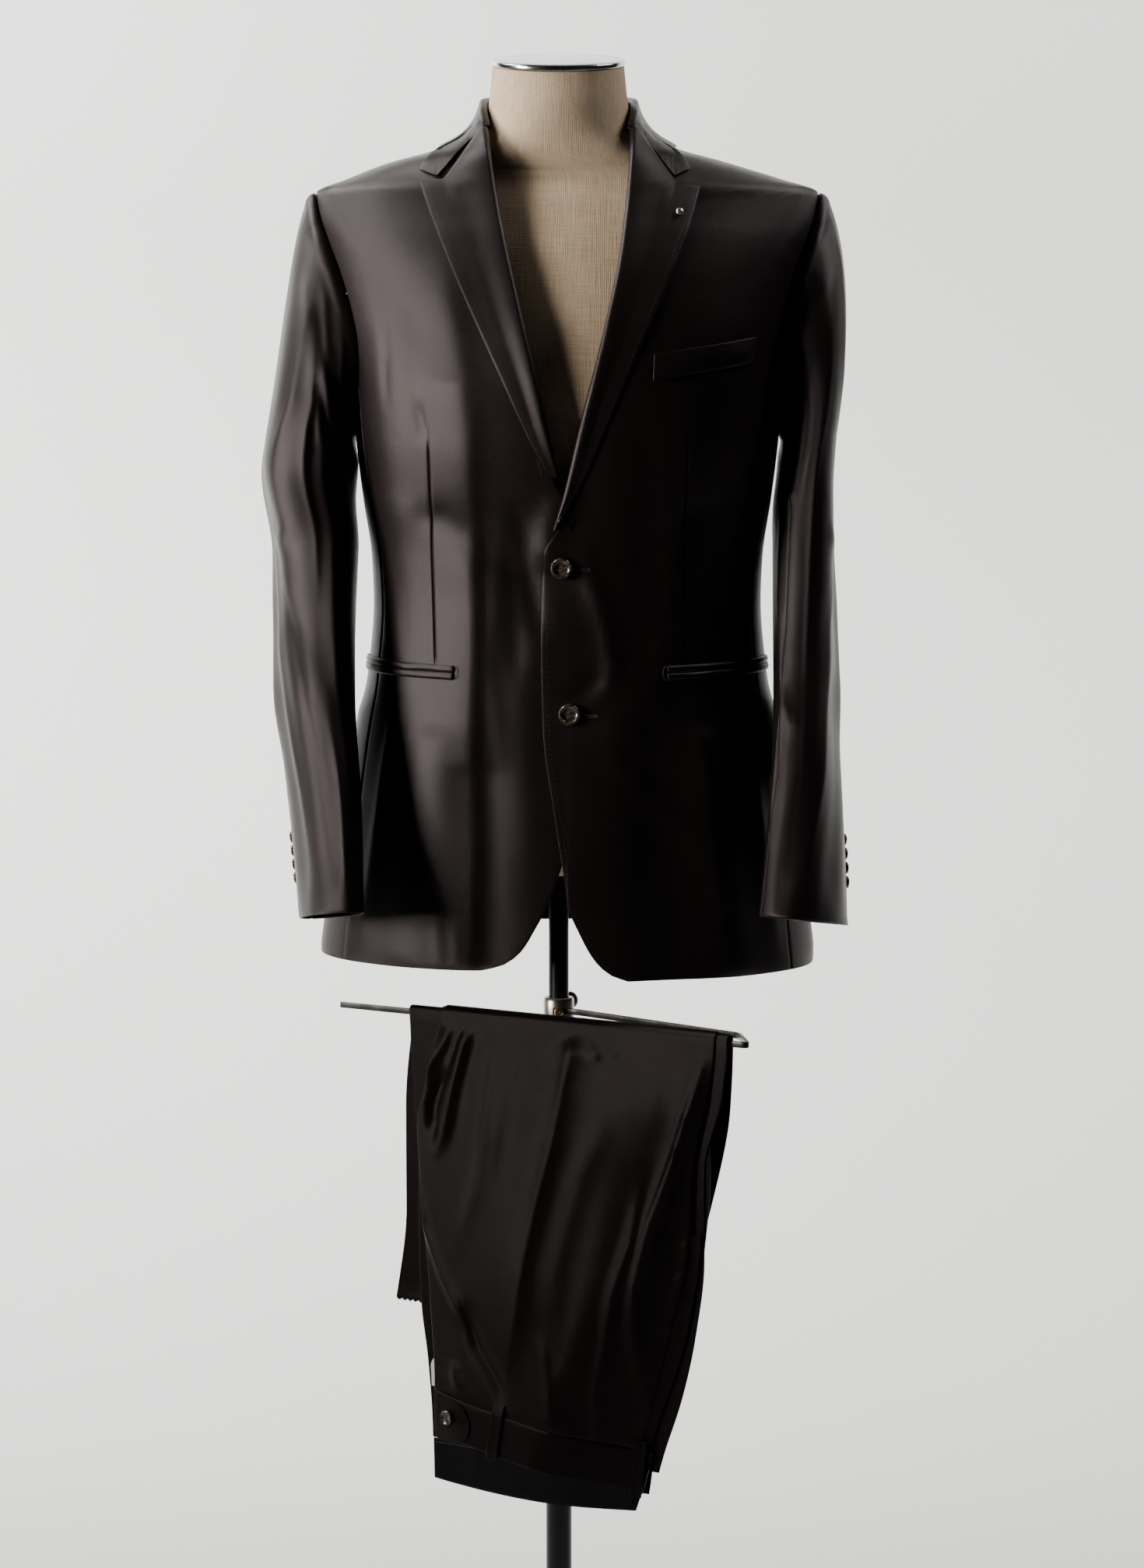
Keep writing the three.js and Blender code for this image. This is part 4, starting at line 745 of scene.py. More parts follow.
def frontPanel(side):
    width = 250
    columns = spaced(62, width)
    near = dart["column"] + np.array([-3, -1.6, -0.8, 0, 0.8, 1.6, 3]) / width
    columns = np.unique(np.concatenate([columns[np.abs(columns - dart["column"]) > 0.014], near]))
    share, up = bodyRows(92, 46)
    u, v = frontSpots(side, columns[None, :], share, up)
    points, normals = body.lay(u, v, bodyOut(hands[side], u, v))
    away = measure(points)
    follow = int(np.argmin(np.abs(columns - dart["column"])))
    fromDart = np.abs(away["left"] - away["left"][:, follow:follow + 1])
    inDart = (smooth(v, dart["low"] - 4, dart["low"] + 2)
              * (1 - smooth(v, dart["high"] - 26, dart["high"])))
    relief = (seamGroove(away["right"], v, 2.0) * (up == 0)
              + seamGroove(away["right"], v, 4.0, 1.1) * (up > 0)
              - dart["deep"] * inDart * bell(fromDart, dart["wide"])
              + 0.35 * inDart * bell(fromDart - 4, 3)
              - 0.3 * bell(away["left"], 1.2) - 0.3 * bell(away["bottom"], 1.2))
    cloth("frontPanel" + side.title(), points, normals, relief, jacketCloth, "front_" + side)


def sidePanel(side):
    s = spaced(20, 80)[None, :]
    share = spaced(84, 500)[:, None]
    u, v = sideSpots(side, s, share)
    points, normals = body.lay(u, v)
    away = measure(points)
    relief = (seamGroove(away["left"], v, 2.0) + seamGroove(away["right"], v, 3.0)
              + seamGroove(away["top"], u * 90, 5.0, 1.0))
    cloth("sidePanel" + side.title(), points, normals, relief, jacketCloth, "side_" + side)


def backPanel(side):
    columns = spaced(56, 235)[None, :]
    share, up = bodyRows(86, 46)
    u, v = backSpots(side, columns, share, up)
    sprung = (1 - smooth(v, vent["top"] - vent["over"], vent["top"])) * smooth(columns, 0.5, 1)
    points, normals = body.lay(u, v, vent["spring"] * sprung)
    away = measure(points)
    sewn = np.where((up > 0) | (v > vent["top"] - 30), 1.0, 0.3)
    relief = seamGroove(away["left"], v, 6.0) + sewn * seamGroove(away["right"], v, 3.0)
    cloth("backPanel" + side.title(), points, normals, relief, jacketCloth, "back_" + side)


for side in hands:
    frontPanel(side)
    sidePanel(side)
    backPanel(side)
print("jacket body laid")


# the collar turns over along its crest, from the centre back (0) to its front ends (1 and -1)
collarLine = readers("crestX crestY crestZ footAngle footLift edgeAngle edgeRight edgeZ", [
    (0, 0, 78, 1574, 180, 3, 180, 180, 1524), (0.25, 53, 57, 1572, 138, 3, 140, 140, 1525),
    (0.45, 68.7, 14, 1567, 104, 3, 106, 106, 1525), (0.56, 68.5, -8, 1561, 84, 3, 84, 84, 1523),
    (0.7, 68, -24, 1555, 68, 3, 55, 60, 1517), (0.85, 66.5, -37, 1547, 57, 2.6, 44, 47, 1509),
    (1, 64.5, -47, 1539, 49, 2.2, 35, 40.5, 1498.5),
])
collarCut = {"halfTurn": 4, "turnDrop": 3.2, "out": 1.0, "bow": 2.2, "notch": 17.5, "sag": 7,
             "wall": 1.5}


def collarPoints(at, row):
    hand = np.where(at < 0, -1.0, 1.0)
    line = readAll(collarLine, np.abs(at))
    crest = stack(hand * line["crestX"] + 0.4, line["crestY"], line["crestZ"])
    edgeAngle = np.where(at < 0, line["edgeRight"], line["edgeAngle"])
    edge, facing = body.lay(hand * np.radians(edgeAngle), line["edgeZ"], collarCut["out"])
    foot = body.lay(hand * np.radians(line["footAngle"]), necklineZ(line["footAngle"]), 1.2)[0]
    foot = foot + stack(0, 0, line["footLift"])
    outward = unit((edge - crest) * [1, 1, 0])
    width = collarCut["halfTurn"] * (1 - 0.3 * smooth(np.abs(at), 0.25, 0.45))
    drop = collarCut["turnDrop"] * (1 - smooth(np.abs(at), 0.75, 1))
    turn = np.clip((row - 3) * np.pi / 2, -np.pi / 2, np.pi / 2)
    rolled = (crest + outward * (width * np.sin(turn))[..., None]
              - stack(0, 0, drop * (1 - np.cos(turn))))
    t = np.clip((row - 4) / 4, 0, 1)
    corner = np.minimum(t / 0.72, (1 - t) / 0.28)
    notch = collarCut["notch"] * smooth(np.abs(at), 0.86, 1) * corner
    bow = collarCut["bow"] * 4 * t * (1 - t) * (1 - smooth(np.abs(at), 0.3, 0.5))
    fall = (rolled * (1 - t)[..., None] + edge * t[..., None] + facing * bow[..., None]
            - stack(0, 0, notch))
    # over the shoulders the fall drops to the jacket and lies on it
    laid = body.lay(angleAt(fall[..., 0], fall[..., 2]), fall[..., 2], collarCut["out"])[0]
    lies = (smooth(np.abs(at), 0.66, 0.9) * smooth(t, 0.05, 0.4))[..., None]
    sag = collarCut["sag"] * smooth(np.abs(at), 0.3, 0.5) * (1 - smooth(np.abs(at), 0.66, 0.9))
    fall = fall * (1 - lies) + laid * lies - facing * (sag * 4 * t * (1 - t) ** 1.4)[..., None]
    down = np.clip(1 - row / 2, 0, 1)[..., None]
    stand = rolled * (1 - down) + foot * down
    return np.where((row > 4)[..., None], fall, np.where((row < 2)[..., None], stand, rolled))


# the ways out of a grid of points, from the grid itself
def gridNormals(points):
    return unit(np.cross(np.gradient(points, axis=1), np.gradient(points, axis=0)))


def collar():
    at = np.linspace(-1, 1, 181)[None, :]
    row = np.concatenate([
        np.linspace(0, 2, 9)[:-1], np.linspace(2, 4, 13)[:-1], np.linspace(4, 8, 26)])
    at, row = np.broadcast_arrays(at, row[:, None])
    points = collarPoints(at, row)
    relief = (collarCut["wall"] - 0.3 * bell(measure(points)["top"], 1.1)
              + 0.35 * wander(at * 21, 3.0) * smooth(row, 4, 5) * smooth(8 - row, 0, 2))
    cloth("collarCloth", points, gridNormals(points), relief, jacketCloth, "collar",
          wall=collarCut["wall"], inner=0, round=0.45)


collar()

# each lapel turns back along its roll line and lies on the front
lapelLine = {
    "right": readers("rollZ edgeX edgeZ", [
        (0, 1228, -12, 1236), (0.1, 1250, -26, 1262), (0.3, 1307, -49, 1312),
        (0.6, 1396, -86, 1394), (0.85, 1482, -112, 1457), (1, 1537, -122.5, 1487)]),
    "left": readers("rollZ edgeX edgeZ", [
        (0, 1182, -2, 1186), (0.1, 1205, 16, 1214), (0.3, 1290, 58, 1308), (0.6, 1392, 94, 1392),
        (0.85, 1480, 117, 1452), (1, 1537, 126, 1484)]),
}
rollLine = {
    "right": readers("x", [(1220, 2), (1287, -12), (1377, -33), (1455, -50), (1510, -59),
                           (1539, -62.5)])["x"],
    "left": readers("x", [(1170, -8), (1206, 3), (1270, 18), (1357, 40), (1431, 55), (1510, 63),
                          (1539, 64)])["x"],
}
lapelCut = {"out": 2.4, "rise": 2.4, "radius": 4.0, "facing": 14, "wall": 1.5, "gorge": 16,
            "notch": 0.62}
lapelWaves = {"right": (0.8, 2.2), "left": (0.9, 4.1)}     # how high the edge lifts, and where


# bend runs from -1 (inside, on the facing) over the roll (0 to 1) to the lapel's own width (1 to 2)
def lapel(side):
    hand = hands[side]
    at = np.linspace(0, 1, 131)[:, None]
    lines = readAll(lapelLine[side], at)
    bend = np.concatenate([np.linspace(-1, 0, 7)[:-1], np.linspace(0, 1, 12)[:-1],
                           1 + spaced(46, 75, start=False) ** 1.15])[None, :]
    s = np.clip(bend - 1, 0, 1)
    turn = np.clip(bend, 0, 1) * np.pi
    full = smooth(at, 0, 0.2)
    radius = mix(1.6, lapelCut["radius"], full)
    gorge = np.minimum(s / lapelCut["notch"], (1 - s) / (1 - lapelCut["notch"]))
    z = mix(lines["rollZ"], lines["edgeZ"], s) - lapelCut["gorge"] * smooth(at, 0.8, 1) * gorge
    roll = rollLine[side](lines["rollZ"])
    wide = np.maximum((lines["edgeX"] - roll) * hand - radius, 2)
    into = radius * (1 - np.sin(turn)) + s * wide + np.clip(-bend, 0, 1) * lapelCut["facing"]
    x = roll + hand * into
    rise = lapelCut["rise"] * (1 - smooth(s, 0, 0.5)) * full
    wave, seed = lapelWaves[side]
    lift = wave * wander(at * 5.2, seed) * smooth(s, 0.4, 1)
    top = lapelCut["out"] + rise + lift + overlapLift(hand, x, z)
    out = np.where(bend < 1, top - radius * (1 + np.cos(turn)), top)
    u, z = np.broadcast_arrays(angleAt(x, z), z)
    points = body.lay(u, z, out)[0]
    away = measure(points)
    relief = -0.35 * bell(away["right"], 1.2) - 0.3 * bell(away["top"], 1.2)
    cloth("lapel" + side.title(), points, gridNormals(points) * hand, relief, jacketCloth,
          "lapel_" + side, wall=lapelCut["wall"], inner=0, round=0.45)


for side in hands:
    lapel(side)

# v runs from the armhole (0) over the sleeve head to the biceps (1) and on to the cuff (2)
sleeveRings = {
    "right": [
        (1250, 225, -4, 41.5, 74, 0), (1220, 228, -9, 43, 73, 2), (1160, 221, -18, 38.5, 70, 6),
        (1090, 220.5, -34, 35.5, 66, 9), (1024, 219, -59, 34, 63, 14),
        (930, 209.5, -95, 30.5, 59, 18), (838, 202, -128, 27, 56, 17)],
    "left": [
        (1250, 227, -4, 26.5, 74, 0), (1203, 223.5, -9, 27.5, 71, 0), (1113, 223, -29, 28, 67, 3),
        (1030, 223.5, -54, 28.5, 63, 8), (957, 224, -84, 31, 60, 14),
        (891, 222, -108, 33, 57, 24), (834, 219, -130, 34, 56, 32)],
}
# how far the cloth stands out at the sleeve head, and how it falls from there
sleeveHead = {
    "right": {"lead": 20, "pull": 0.42, "out": -2}, "left": {"lead": 14, "pull": 0.66, "out": 13}}
sleeveFolds = [
    (60, 125, 40, 325, 22, 3), (100, 175, 75, 475, 20, -3), (330, 150, 345, 375, 22, 3),
    (20, 362, 80, 400, 18, 2.5), (250, 325, 300, 375, 22, 3), (10, 275, 15, 475, 18, -2.5),
]
# creases by the turn in degrees and the way down, 250 steps to the biceps and 250 to the cuff
hiddenCreases = [
    (12, 1.6, 1.8, [(300, 60), (318, 120), (330, 190)]),
    (14, 1.6, 1.8, [(200, 150), (206, 240), (216, 330)]),
    (9, 1.4, 1.8, [(252, 236), (226, 276), (196, 300)]),
    (10, -1.3, 1.8, [(330, 380), (338, 430), (336, 500)]),
    (8, 1.4, 1.8, [(346, 300), (352, 350), (344, 420)]),
]
sleeveCreases = {
    "right": [
        (6, 2.2, 1.5, [(66, 90), (67, 144), (67, 214), (44, 290)]),
        (6, 2.4, 1.5, [(70, 96), (90, 193), (87, 274), (83, 350)]),
        (7, 3.2, 1.5, [(80, 110), (100, 150), (119, 190), (138, 261), (146, 296)]),
        (7, 2.8, 1.5, [(74, 110), (96, 170), (112, 250), (108, 339), (105, 384), (110, 440),
                       (113, 500)]),
        (8, -2.2, 1.8, [(26, 310), (53, 383), (60, 444), (74, 500)]),
        (5, 1.2, 1.8, [(66, 56), (80, 92), (98, 128)]),
        (5, 1.1, 1.8, [(90, 50), (106, 80), (116, 120)]),
        (7, 2.0, 1.7, [(10, 250), (14, 330), (22, 420), (34, 490)]),
        (6, -1.5, 1.8, [(128, 300), (122, 350), (126, 400)]),
        (6, 2.2, 1.8, [(4, 292), (30, 304), (62, 300)]),
        (7, 1.4, 1.8, [(84, 400), (90, 450), (92, 500)]),
    ] + hiddenCreases,
    "left": [
        (7, 2.6, 1.5, [(160, 240), (142, 281), (140, 336), (122, 392), (130, 431), (108, 500)]),
        (5, 1.8, 1.8, [(152, 288), (134, 280), (112, 272)]),
        (6, 1.6, 1.5, [(56, 70), (59, 110), (69, 210), (80, 296), (78, 382), (76, 470)]),
        (6, 1.8, 1.5, [(24, 70), (30, 120), (40, 190), (36, 260)]),
        (7, -1.6, 1.8, [(96, 130), (104, 220), (110, 300)]),
        (7, 1.4, 1.6, [(20, 300), (38, 350), (44, 430), (60, 500)]),
        (6, 1.6, 1.8, [(6, 296), (26, 306), (52, 300)]),
        (6, 1.5, 1.8, [(126, 392), (104, 408), (84, 404)]),
    ] + hiddenCreases,
}
sleeveTilt = 15


def sleeveSurface(side):
    hand = hands[side]
    rows = sleeveRings[side][::-1]
    ring = readers("x y halfWide halfDeep twist", rows)
    topZ, cuffZ = rows[-1][0], rows[0][0]

    def centre(z):
        return stack(hand * ring["x"](z), ring["y"](z), z)

    def armRing(turn, share):
        turn, share = np.broadcast_arrays(turn, share)
        z = mix(topZ, cuffZ, share)
        down = unit(centre(z - 12) - centre(z + 12))
        twist = np.radians(ring["twist"](z))
        wide = stack(hand * np.cos(twist), -np.sin(twist), 0 * twist)
        ahead = unit(np.cross(down, wide)) * -hand
        lift = sleeveTilt * np.cos(turn) * (1 - smooth(share, 0, 0.3))
        return (centre(z) + wide * (ring["halfWide"](z) * np.cos(turn))[..., None]
                - ahead * (ring["halfDeep"](z) * np.sin(turn))[..., None] + stack(0, 0, lift))

    def cap(turn, t):
        turn, t = np.broadcast_arrays(turn, t)
        start = body.at(*armholeSpot(hand, turn))
        head = sleeveHead[side]
        lead = 5 + (head["lead"] - 5) / 2 * (1 + np.cos(turn))
        handle = start + stack(hand * lead, -2.5 * np.sin(turn), 2.5 * np.cos(turn))
        end = armRing(turn, 0.0)
        down = unit(end - armRing(turn, 0.06))
        pull = end + down * head["pull"] * np.linalg.norm(end - start, axis=-1, keepdims=True)
        pull = pull + stack(hand * head["out"] * np.maximum(np.cos(turn), 0), 0, 0)
        t = t[..., None]
        return (start * (1 - t) ** 3 + handle * 3 * t * (1 - t) ** 2 + pull * 3 * t * t * (1 - t)
                + end * t ** 3)

    def at(turn, v):
        high = cap(turn, np.minimum(v, 1))
        low = armRing(turn, np.maximum(v - 1, 0))
        return np.where((np.broadcast_arrays(turn, v)[1] < 1)[..., None], high, low)

    def relief(turn, v):
        around = np.degrees(turn)
        height = 0.2 * wander(around / 9, 1.0 + hand) * wander(v * 7 + around / 50, 2.0)
        for shift in (-360, 0, 360):
            height = height + foldHeight(sleeveFolds, around + shift, v * 250)
            height = height + creaseHeight(sleeveCreases[side], around + shift, v * 250)
        return height * smooth(v, 0.1, 0.4)

    return Surface(at, relief, du=0.02, dv=0.01, low=0, high=2, faces=hand)


sleeves = {side: sleeveSurface(side) for side in hands}
sleeveRow = np.concatenate([spaced(34, 200, end=False)[:-1], 1 + spaced(96, 420, start=False)])
sleeveParts = {"Top": (284, 484, 72), "Under": (124, 284, 44)}     # from one seam to the other


def sleevePiece(side, part):
    start, end, columns = sleeveParts[part]
    turn = np.radians(mix(start, end, spaced(columns, 190)))[None, :]
    v = sleeveRow[:, None]
    points, normals = sleeves[side].lay(turn, v)
    away = measure(points)
    head = smooth(np.cos(turn), -0.3, 0.5)
    puckers = 0.5 * wander(np.degrees(turn) / 6, 1.2) * bell(away["bottom"] - 16, 12)
    relief = (head * (1.5 * bell(away["bottom"] - 9, 6) + puckers)
              + seamGroove(away["bottom"], turn * 80, 7.0, 1.2)
              + seamGroove(away["left"], v * 250, 3.0) + seamGroove(away["right"], v * 250, 3.0)
              - 0.35 * bell(away["top"], 1.2))
    cloth("sleeve" + part + side.title(), points, normals, relief, jacketCloth,
          "sleeve_" + part.lower() + "_" + side)


for side in hands:
    for part in sleeveParts:
        sleevePiece(side, part)
print("collar, lapels and sleeves laid")


# the angles at these distances along a ring of the body, towards one side
def anglesAlong(start, z, hand, distances):
    angles = start + hand * np.arange(0, 1.4, 0.004)
    steps = np.linalg.norm(np.diff(body.at(angles, z), axis=0), axis=1)
    return hand * np.interp(distances, np.concatenate([[0], np.cumsum(steps)]), hand * angles)


# jetted pockets: two rounded lips with a dark slit between them
hipPocket = {"x": 94, "z": 1054, "length": 145, "tall": 13, "rise": 4, "out": 2.8, "wall": 1.5}


def pocket(side):
    hand = hands[side]
    length = hipPocket["length"]
    across = spaced(90, length, close=(0.6, 1.3))
    start = angleAt(hand * hipPocket["x"] + 2, hipPocket["z"])
    angles = anglesAlong(start, hipPocket["z"], hand, across * length)
    up = np.linspace(-0.5, 0.5, 41)[:, None]
    z = hipPocket["z"] + up * hipPocket["tall"] + hipPocket["rise"] * across
    inLip = np.clip(1 - ((np.abs(up) - 0.25) / 0.25) ** 2, 0, 1) ** 0.5
    ends = np.clip(np.minimum(across, 1 - across) * length / 1.2, 0, 1) ** 0.5
    sag = 0.5 * wander(across * 17, 2.0) * bell(up, 1 / 6)
    slit = (np.abs(up) < 0.02) * (across > 0.01) * (across < 0.99)
    out = hipPocket["out"] - 1.6 * (1 - inLip) - 0.8 * (1 - ends) + sag - 1.3 * slit
    points, normals = body.lay(angles, z, out)
    cloth("pocket" + side.title(), points, normals, 0, jacketCloth, "pocket_" + side,
          "front_" + side, wall=hipPocket["wall"], inner=0, round=0.3)


breastWelt = {"x": 83, "z": 1312, "length": 98, "tall": 23, "rise": 16, "out": 2.5, "wall": 1.5}


def welt():
    across = spaced(60, breastWelt["length"])
    start = angleAt(breastWelt["x"], breastWelt["z"])
    angles = anglesAlong(start, breastWelt["z"], 1, across * breastWelt["length"])
    up = spaced(18, breastWelt["tall"])[:, None]
    z = breastWelt["z"] + breastWelt["rise"] * across + breastWelt["tall"] * up
    out = (breastWelt["out"] + 0.5 * np.sin(np.pi * up)
           - 0.6 * bell(up * breastWelt["tall"], 1.3))
    points, normals = body.lay(angles, z, out)
    cloth("breastWelt", points, normals, 0, jacketCloth, "breast_welt", "front_left",
          wall=breastWelt["wall"], inner=0, round=0.4)


for side in hands:
    pocket(side)
welt()


# buttons: a rim round a dish with four holes, sewn on with parallel threads
buttonCut = {"spread": 0.2, "hole": 0.085}     # in shares of the radius
buttonThread = {"radius": 0.22, "apart": 0.28}


def buttonMesh(name, radius, thick):
    profile = [(0, 0), (radius * 0.86, 0), (radius * 0.97, thick * 0.25), (radius, thick * 0.5),
               (radius * 0.96, thick * 0.8), (radius * 0.88, thick), (radius * 0.76, thick * 0.96),
               (radius * 0.64, thick * 0.62), (radius * 0.5, thick * 0.52), (0, thick * 0.5)]
    mesh = turnedMesh(name, profile, 48)
    piece = pieceOf(mesh, name, [finish["horn"]])
    bm = bmesh.new()
    spread, wide = (radius * buttonCut[key] * mm for key in ("spread", "hole"))
    for x, y in ((-1, -1), (-1, 1), (1, -1), (1, 1)):
        turn = Matrix.Translation((x * spread, y * spread, thick * 0.4 * mm))
        bmesh.ops.create_cone(bm, cap_ends=True, segments=14, radius1=wide, radius2=wide,
                              depth=thick * 2 * mm, matrix=turn)
    drill = pieceOf(meshOf(bm, name + "Drill"), name + "Drill", [])
    hole = piece.modifiers.new("holes", "BOOLEAN")
    hole.operation, hole.object, hole.solver = "DIFFERENCE", drill, "EXACT"
    drilled = evaluated(piece, name)
    bpy.data.objects.remove(piece)
    bpy.data.objects.remove(drill)
    return drilled


# turns a small piece so that it stands on the surface at one spot
def standing(surface, u, v, out):
    points, normals = surface.lay(np.array([[u]]), np.array([[v]]), out)
    normal, spot = Vector(normals[0, 0]), Vector(points[0, 0] * mm)
    side = Vector((0, 0, 1)).cross(normal).normalized()
    top = normal.cross(side).normalized()
    turn = Matrix((side, top, normal)).transposed().to_4x4()
    return Matrix.Translation(spot) @ turn


# threads run in pairs across the dish and go down through the holes
def sewingLines(turn, radius, thick):
    spread, lines = radius * buttonCut["spread"], []
    for y in (-spread, spread):
        for shift in (-buttonThread["apart"], 0, buttonThread["apart"]):
            lift = thick * 0.5 + 0.35 + 0.12 * math.cos(shift * 5)
            row = [(-spread, -thick), (-spread, lift - 0.25), (-spread * 0.6, lift),
                   (spread * 0.6, lift), (spread, lift - 0.25), (spread, -thick)]
            lines.append([turn @ (Vector((x, y + shift, z)) * mm) / mm for x, z in row])
    return lines


buttonThreads = {"form": [], "stand": []}


def button(name, node, surface, u, v, out, radius, thick, body="form"):
    mesh = buttonMesh(name, radius, thick)
    turn = standing(surface, u, v, out)
    mesh.transform(turn)
    mesh.shade_smooth()
    mesh.set_sharp_from_angle(angle=math.radians(40))
    buttonThreads[body] += [
        [tuple(spot) for spot in line] for line in sewingLines(turn, radius, thick)]
    place(pieceOf(mesh, name, [finish["horn"]]), body, "horn_button", node)


frontButton = {"radius": 9.75, "thick": 4}
frontButtons = {
    "buttonTop": ("button_top", 3, 1148, 1.9), "buttonLower": ("button_lower", 10, 1018, 0.75)}
for name, (node, x, z, out) in frontButtons.items():
    button(name, node, body, float(angleAt(x, z)), z, overlap["lift"] + out,
           frontButton["radius"], frontButton["thick"])

cuffButtons = {"count": 4, "radius": 5.6, "thick": 2.6, "first": 1.895, "step": -0.029, "turn": 312,
               "out": {"right": -0.1, "left": 0.2}}
for side in hands:
    for n in range(cuffButtons["count"]):
        button(f"cuffButton{side.title()}{n + 1}", f"cuff_button_{side}_{n + 1}", sleeves[side],
               math.radians(cuffButtons["turn"]), cuffButtons["first"] + cuffButtons["step"] * n,
               cuffButtons["out"][side], cuffButtons["radius"], cuffButtons["thick"])

stud = {"x": 107, "z": 1460, "out": 3.3}
studMesh = turnedMesh("lapelStud", [
    (0, 0), (3.0, 0), (3.4, 0.3), (3.4, 0.8), (3.15, 1.5), (2.5, 2.1), (1.4, 2.5), (0, 2.62)], 40)
studMesh.transform(standing(body, float(angleAt(stud["x"], stud["z"])), stud["z"], stud["out"]))
place(pieceOf(studMesh, "lapelStud", [finish["nickel"]]), "form", "nickel", "lapel_stud")
print("pockets and buttons made")


# the line on a cloth that keeps this distance from one of its borders, on the rows below a height
def inward(name, border, distance, below):
    points, normals = grids[name]
    away = measure(points)[border]
    rows = [k for k in range(len(points))
            if away[k].max() > distance * 2.2 and points[k, :, 2].max() < below]
    line, out = [], []
    for k in rows:
        order = np.argsort(away[k])
        for found, values in ((line, points), (out, normals)):
            found.append([np.interp(distance, away[k][order], values[k, order, axis])
                          for axis in range(3)])
    return np.array(line), np.array(out)


# small stitches by hand along the lapels and the front edge
picked = {"in": 5.2, "pitch": 4.3, "length": 1.7, "radius": 0.16, "sink": 0.25, "lift": 0.12,
          "below": {"lapelRight": 1600, "lapelLeft": 1600, "frontPanelLeft": 1130}}


def stitchLines(points, normals):
    step = np.linalg.norm(np.diff(points, axis=0), axis=1)
    gone = np.concatenate([[0], np.cumsum(step)])
    pitch, length, low, high = picked["pitch"], picked["length"], -picked["sink"], picked["lift"]

    def spot(at, height):
        where, out = (np.array([np.interp(at, gone, values[:, k]) for k in range(3)])
                      for values in (points, normals))
        return where + out * height

    return [[spot(at, low), spot(at + length * 0.3, high), spot(at + length * 0.7, high),
             spot(at + length, low)] for at in np.arange(pitch, gone[-1] - pitch, pitch)]


pickedLines = []
for name, below in picked["below"].items():
    border = "left" if name.startswith("front") else "right"
    pickedLines += stitchLines(*inward(name, border, picked["in"], below))
threads("pickedStitches", pickedLines, picked["radius"], "form")

# worked buttonholes: a dark slit between two ridges of thread, round at one end
buttonhole = {"from": 12, "to": 25, "half": 0.75, "drop": 1.5, "out": 0.1, "radius": 0.42}
holeLines = []
for _, x, z, _ in frontButtons.values():
    line = []
    for dx, dz in ((buttonhole["to"], 1), (buttonhole["from"] + 1, 1), (buttonhole["from"], 0),
                   (buttonhole["from"] + 1, -1), (buttonhole["to"], -1)):
        spotZ = z + dz * buttonhole["half"] - buttonhole["drop"]
        angle = float(angleAt(x + dx, spotZ))
        lift = bodyOut(hands["left"], angle, z) + buttonhole["out"]
        line.append(body.lay(angle, spotZ, lift)[0])
    holeLines.append(line)
threads("buttonholes", holeLines, buttonhole["radius"], "form")

# a half round of close stitches guards each end of the pockets
tack = {"out": 4.2, "sink": 0.9, "radius": 0.32, "spots": 15}
tackTurns = np.linspace(-math.pi / 2, math.pi / 2, tack["spots"])
tackLines = []
for side in hands:
    points, normals = grids["pocket" + side.title()]
    for end, inner in ((0, 3), (-1, -4)):
        low, high, way = points[1, end], points[-2, end], normals[20, end] * tack["sink"]
        outward = unit(points[20, end] - points[20, inner]) * tack["out"]
        tackLines.append([(low + high) / 2 + (high - low) / 2 * math.sin(t) + outward * math.cos(t)
                          - way for t in tackTurns])
threads("pocketTacks", tackLines, tack["radius"], "form")
print("stitches sewn")

# the dress form
formRing = readers("middle halfWidth front back", [
    (868, 4, 118, 82, 84), (890, 6, 156, 108, 112), (930, 8, 168, 118, 118),
    (1000, 8, 170, 117, 112), (1080, 8, 163, 107, 96), (1130, 8, 162, 106, 90),
    (1206, 8, 169, 115, 95), (1290, 8, 178, 126, 104), (1360, 8, 181, 117, 103),
    (1420, 8, 186, 101, 98), (1455, 8, 193, 86, 92), (1474, 8, 194, 76, 82),
    (1486.4, 8, 186, 68, 74), (1492.4, 8, 178, 65, 71), (1505.4, 2, 145, 63, 69),
    (1516.4, 0, 108, 63, 69), (1527, 0, 84, 63, 69), (1539, 0, 69, 64, 67),
    (1553, 0, 64.5, 64.5, 64.5), (1597, 0, 59.5, 59.5, 59.5),
])
neckTilt = math.tan(math.radians(10.6))


def formPoints(angle, z):
    ring = readAll(formRing, z)
    ring["power"] = mix(2.25, 2.0, smooth(z, 1500, 1555))
    points = ringPoint(ring, angle, z)
    points[..., 2] += neckTilt * points[..., 1] * smooth(z, 1550, 1597)
    return points


def torso():
    angle = np.linspace(-np.pi, np.pi, 145)[None, :]
    z = np.concatenate([np.linspace(868, 1470, 130)[:-1], np.linspace(1470, 1545, 40)[:-1],
                        np.linspace(1545, 1597, 22)])[:, None]
    points = formPoints(angle, z)
    normals = gridNormals(points)
    shoulderSeam = 0.7 * bell(z - 1512 + 12 * np.cos(angle), 1.4)
    mesh = gridMesh("linenForm", points - normals * shoulderSeam[..., None], normals)
    bm = bmesh.new()
    bm.from_mesh(mesh)
    bmesh.ops.remove_doubles(bm, verts=bm.verts, dist=0.02 * mm)
    rim = [edge for edge in bm.edges if edge.is_boundary]
    bmesh.ops.holes_fill(bm, edges=rim, sides=0)
    bmesh.ops.recalc_face_normals(bm, faces=bm.faces)
    bm.to_mesh(mesh)
    bm.free()
    mesh.shade_smooth()
    mesh.set_sharp_from_angle(angle=math.radians(50))
    piece = pieceOf(mesh, "linenForm", [finish["linen"]])
    place(piece, "form", "linen", "torso")


torso()


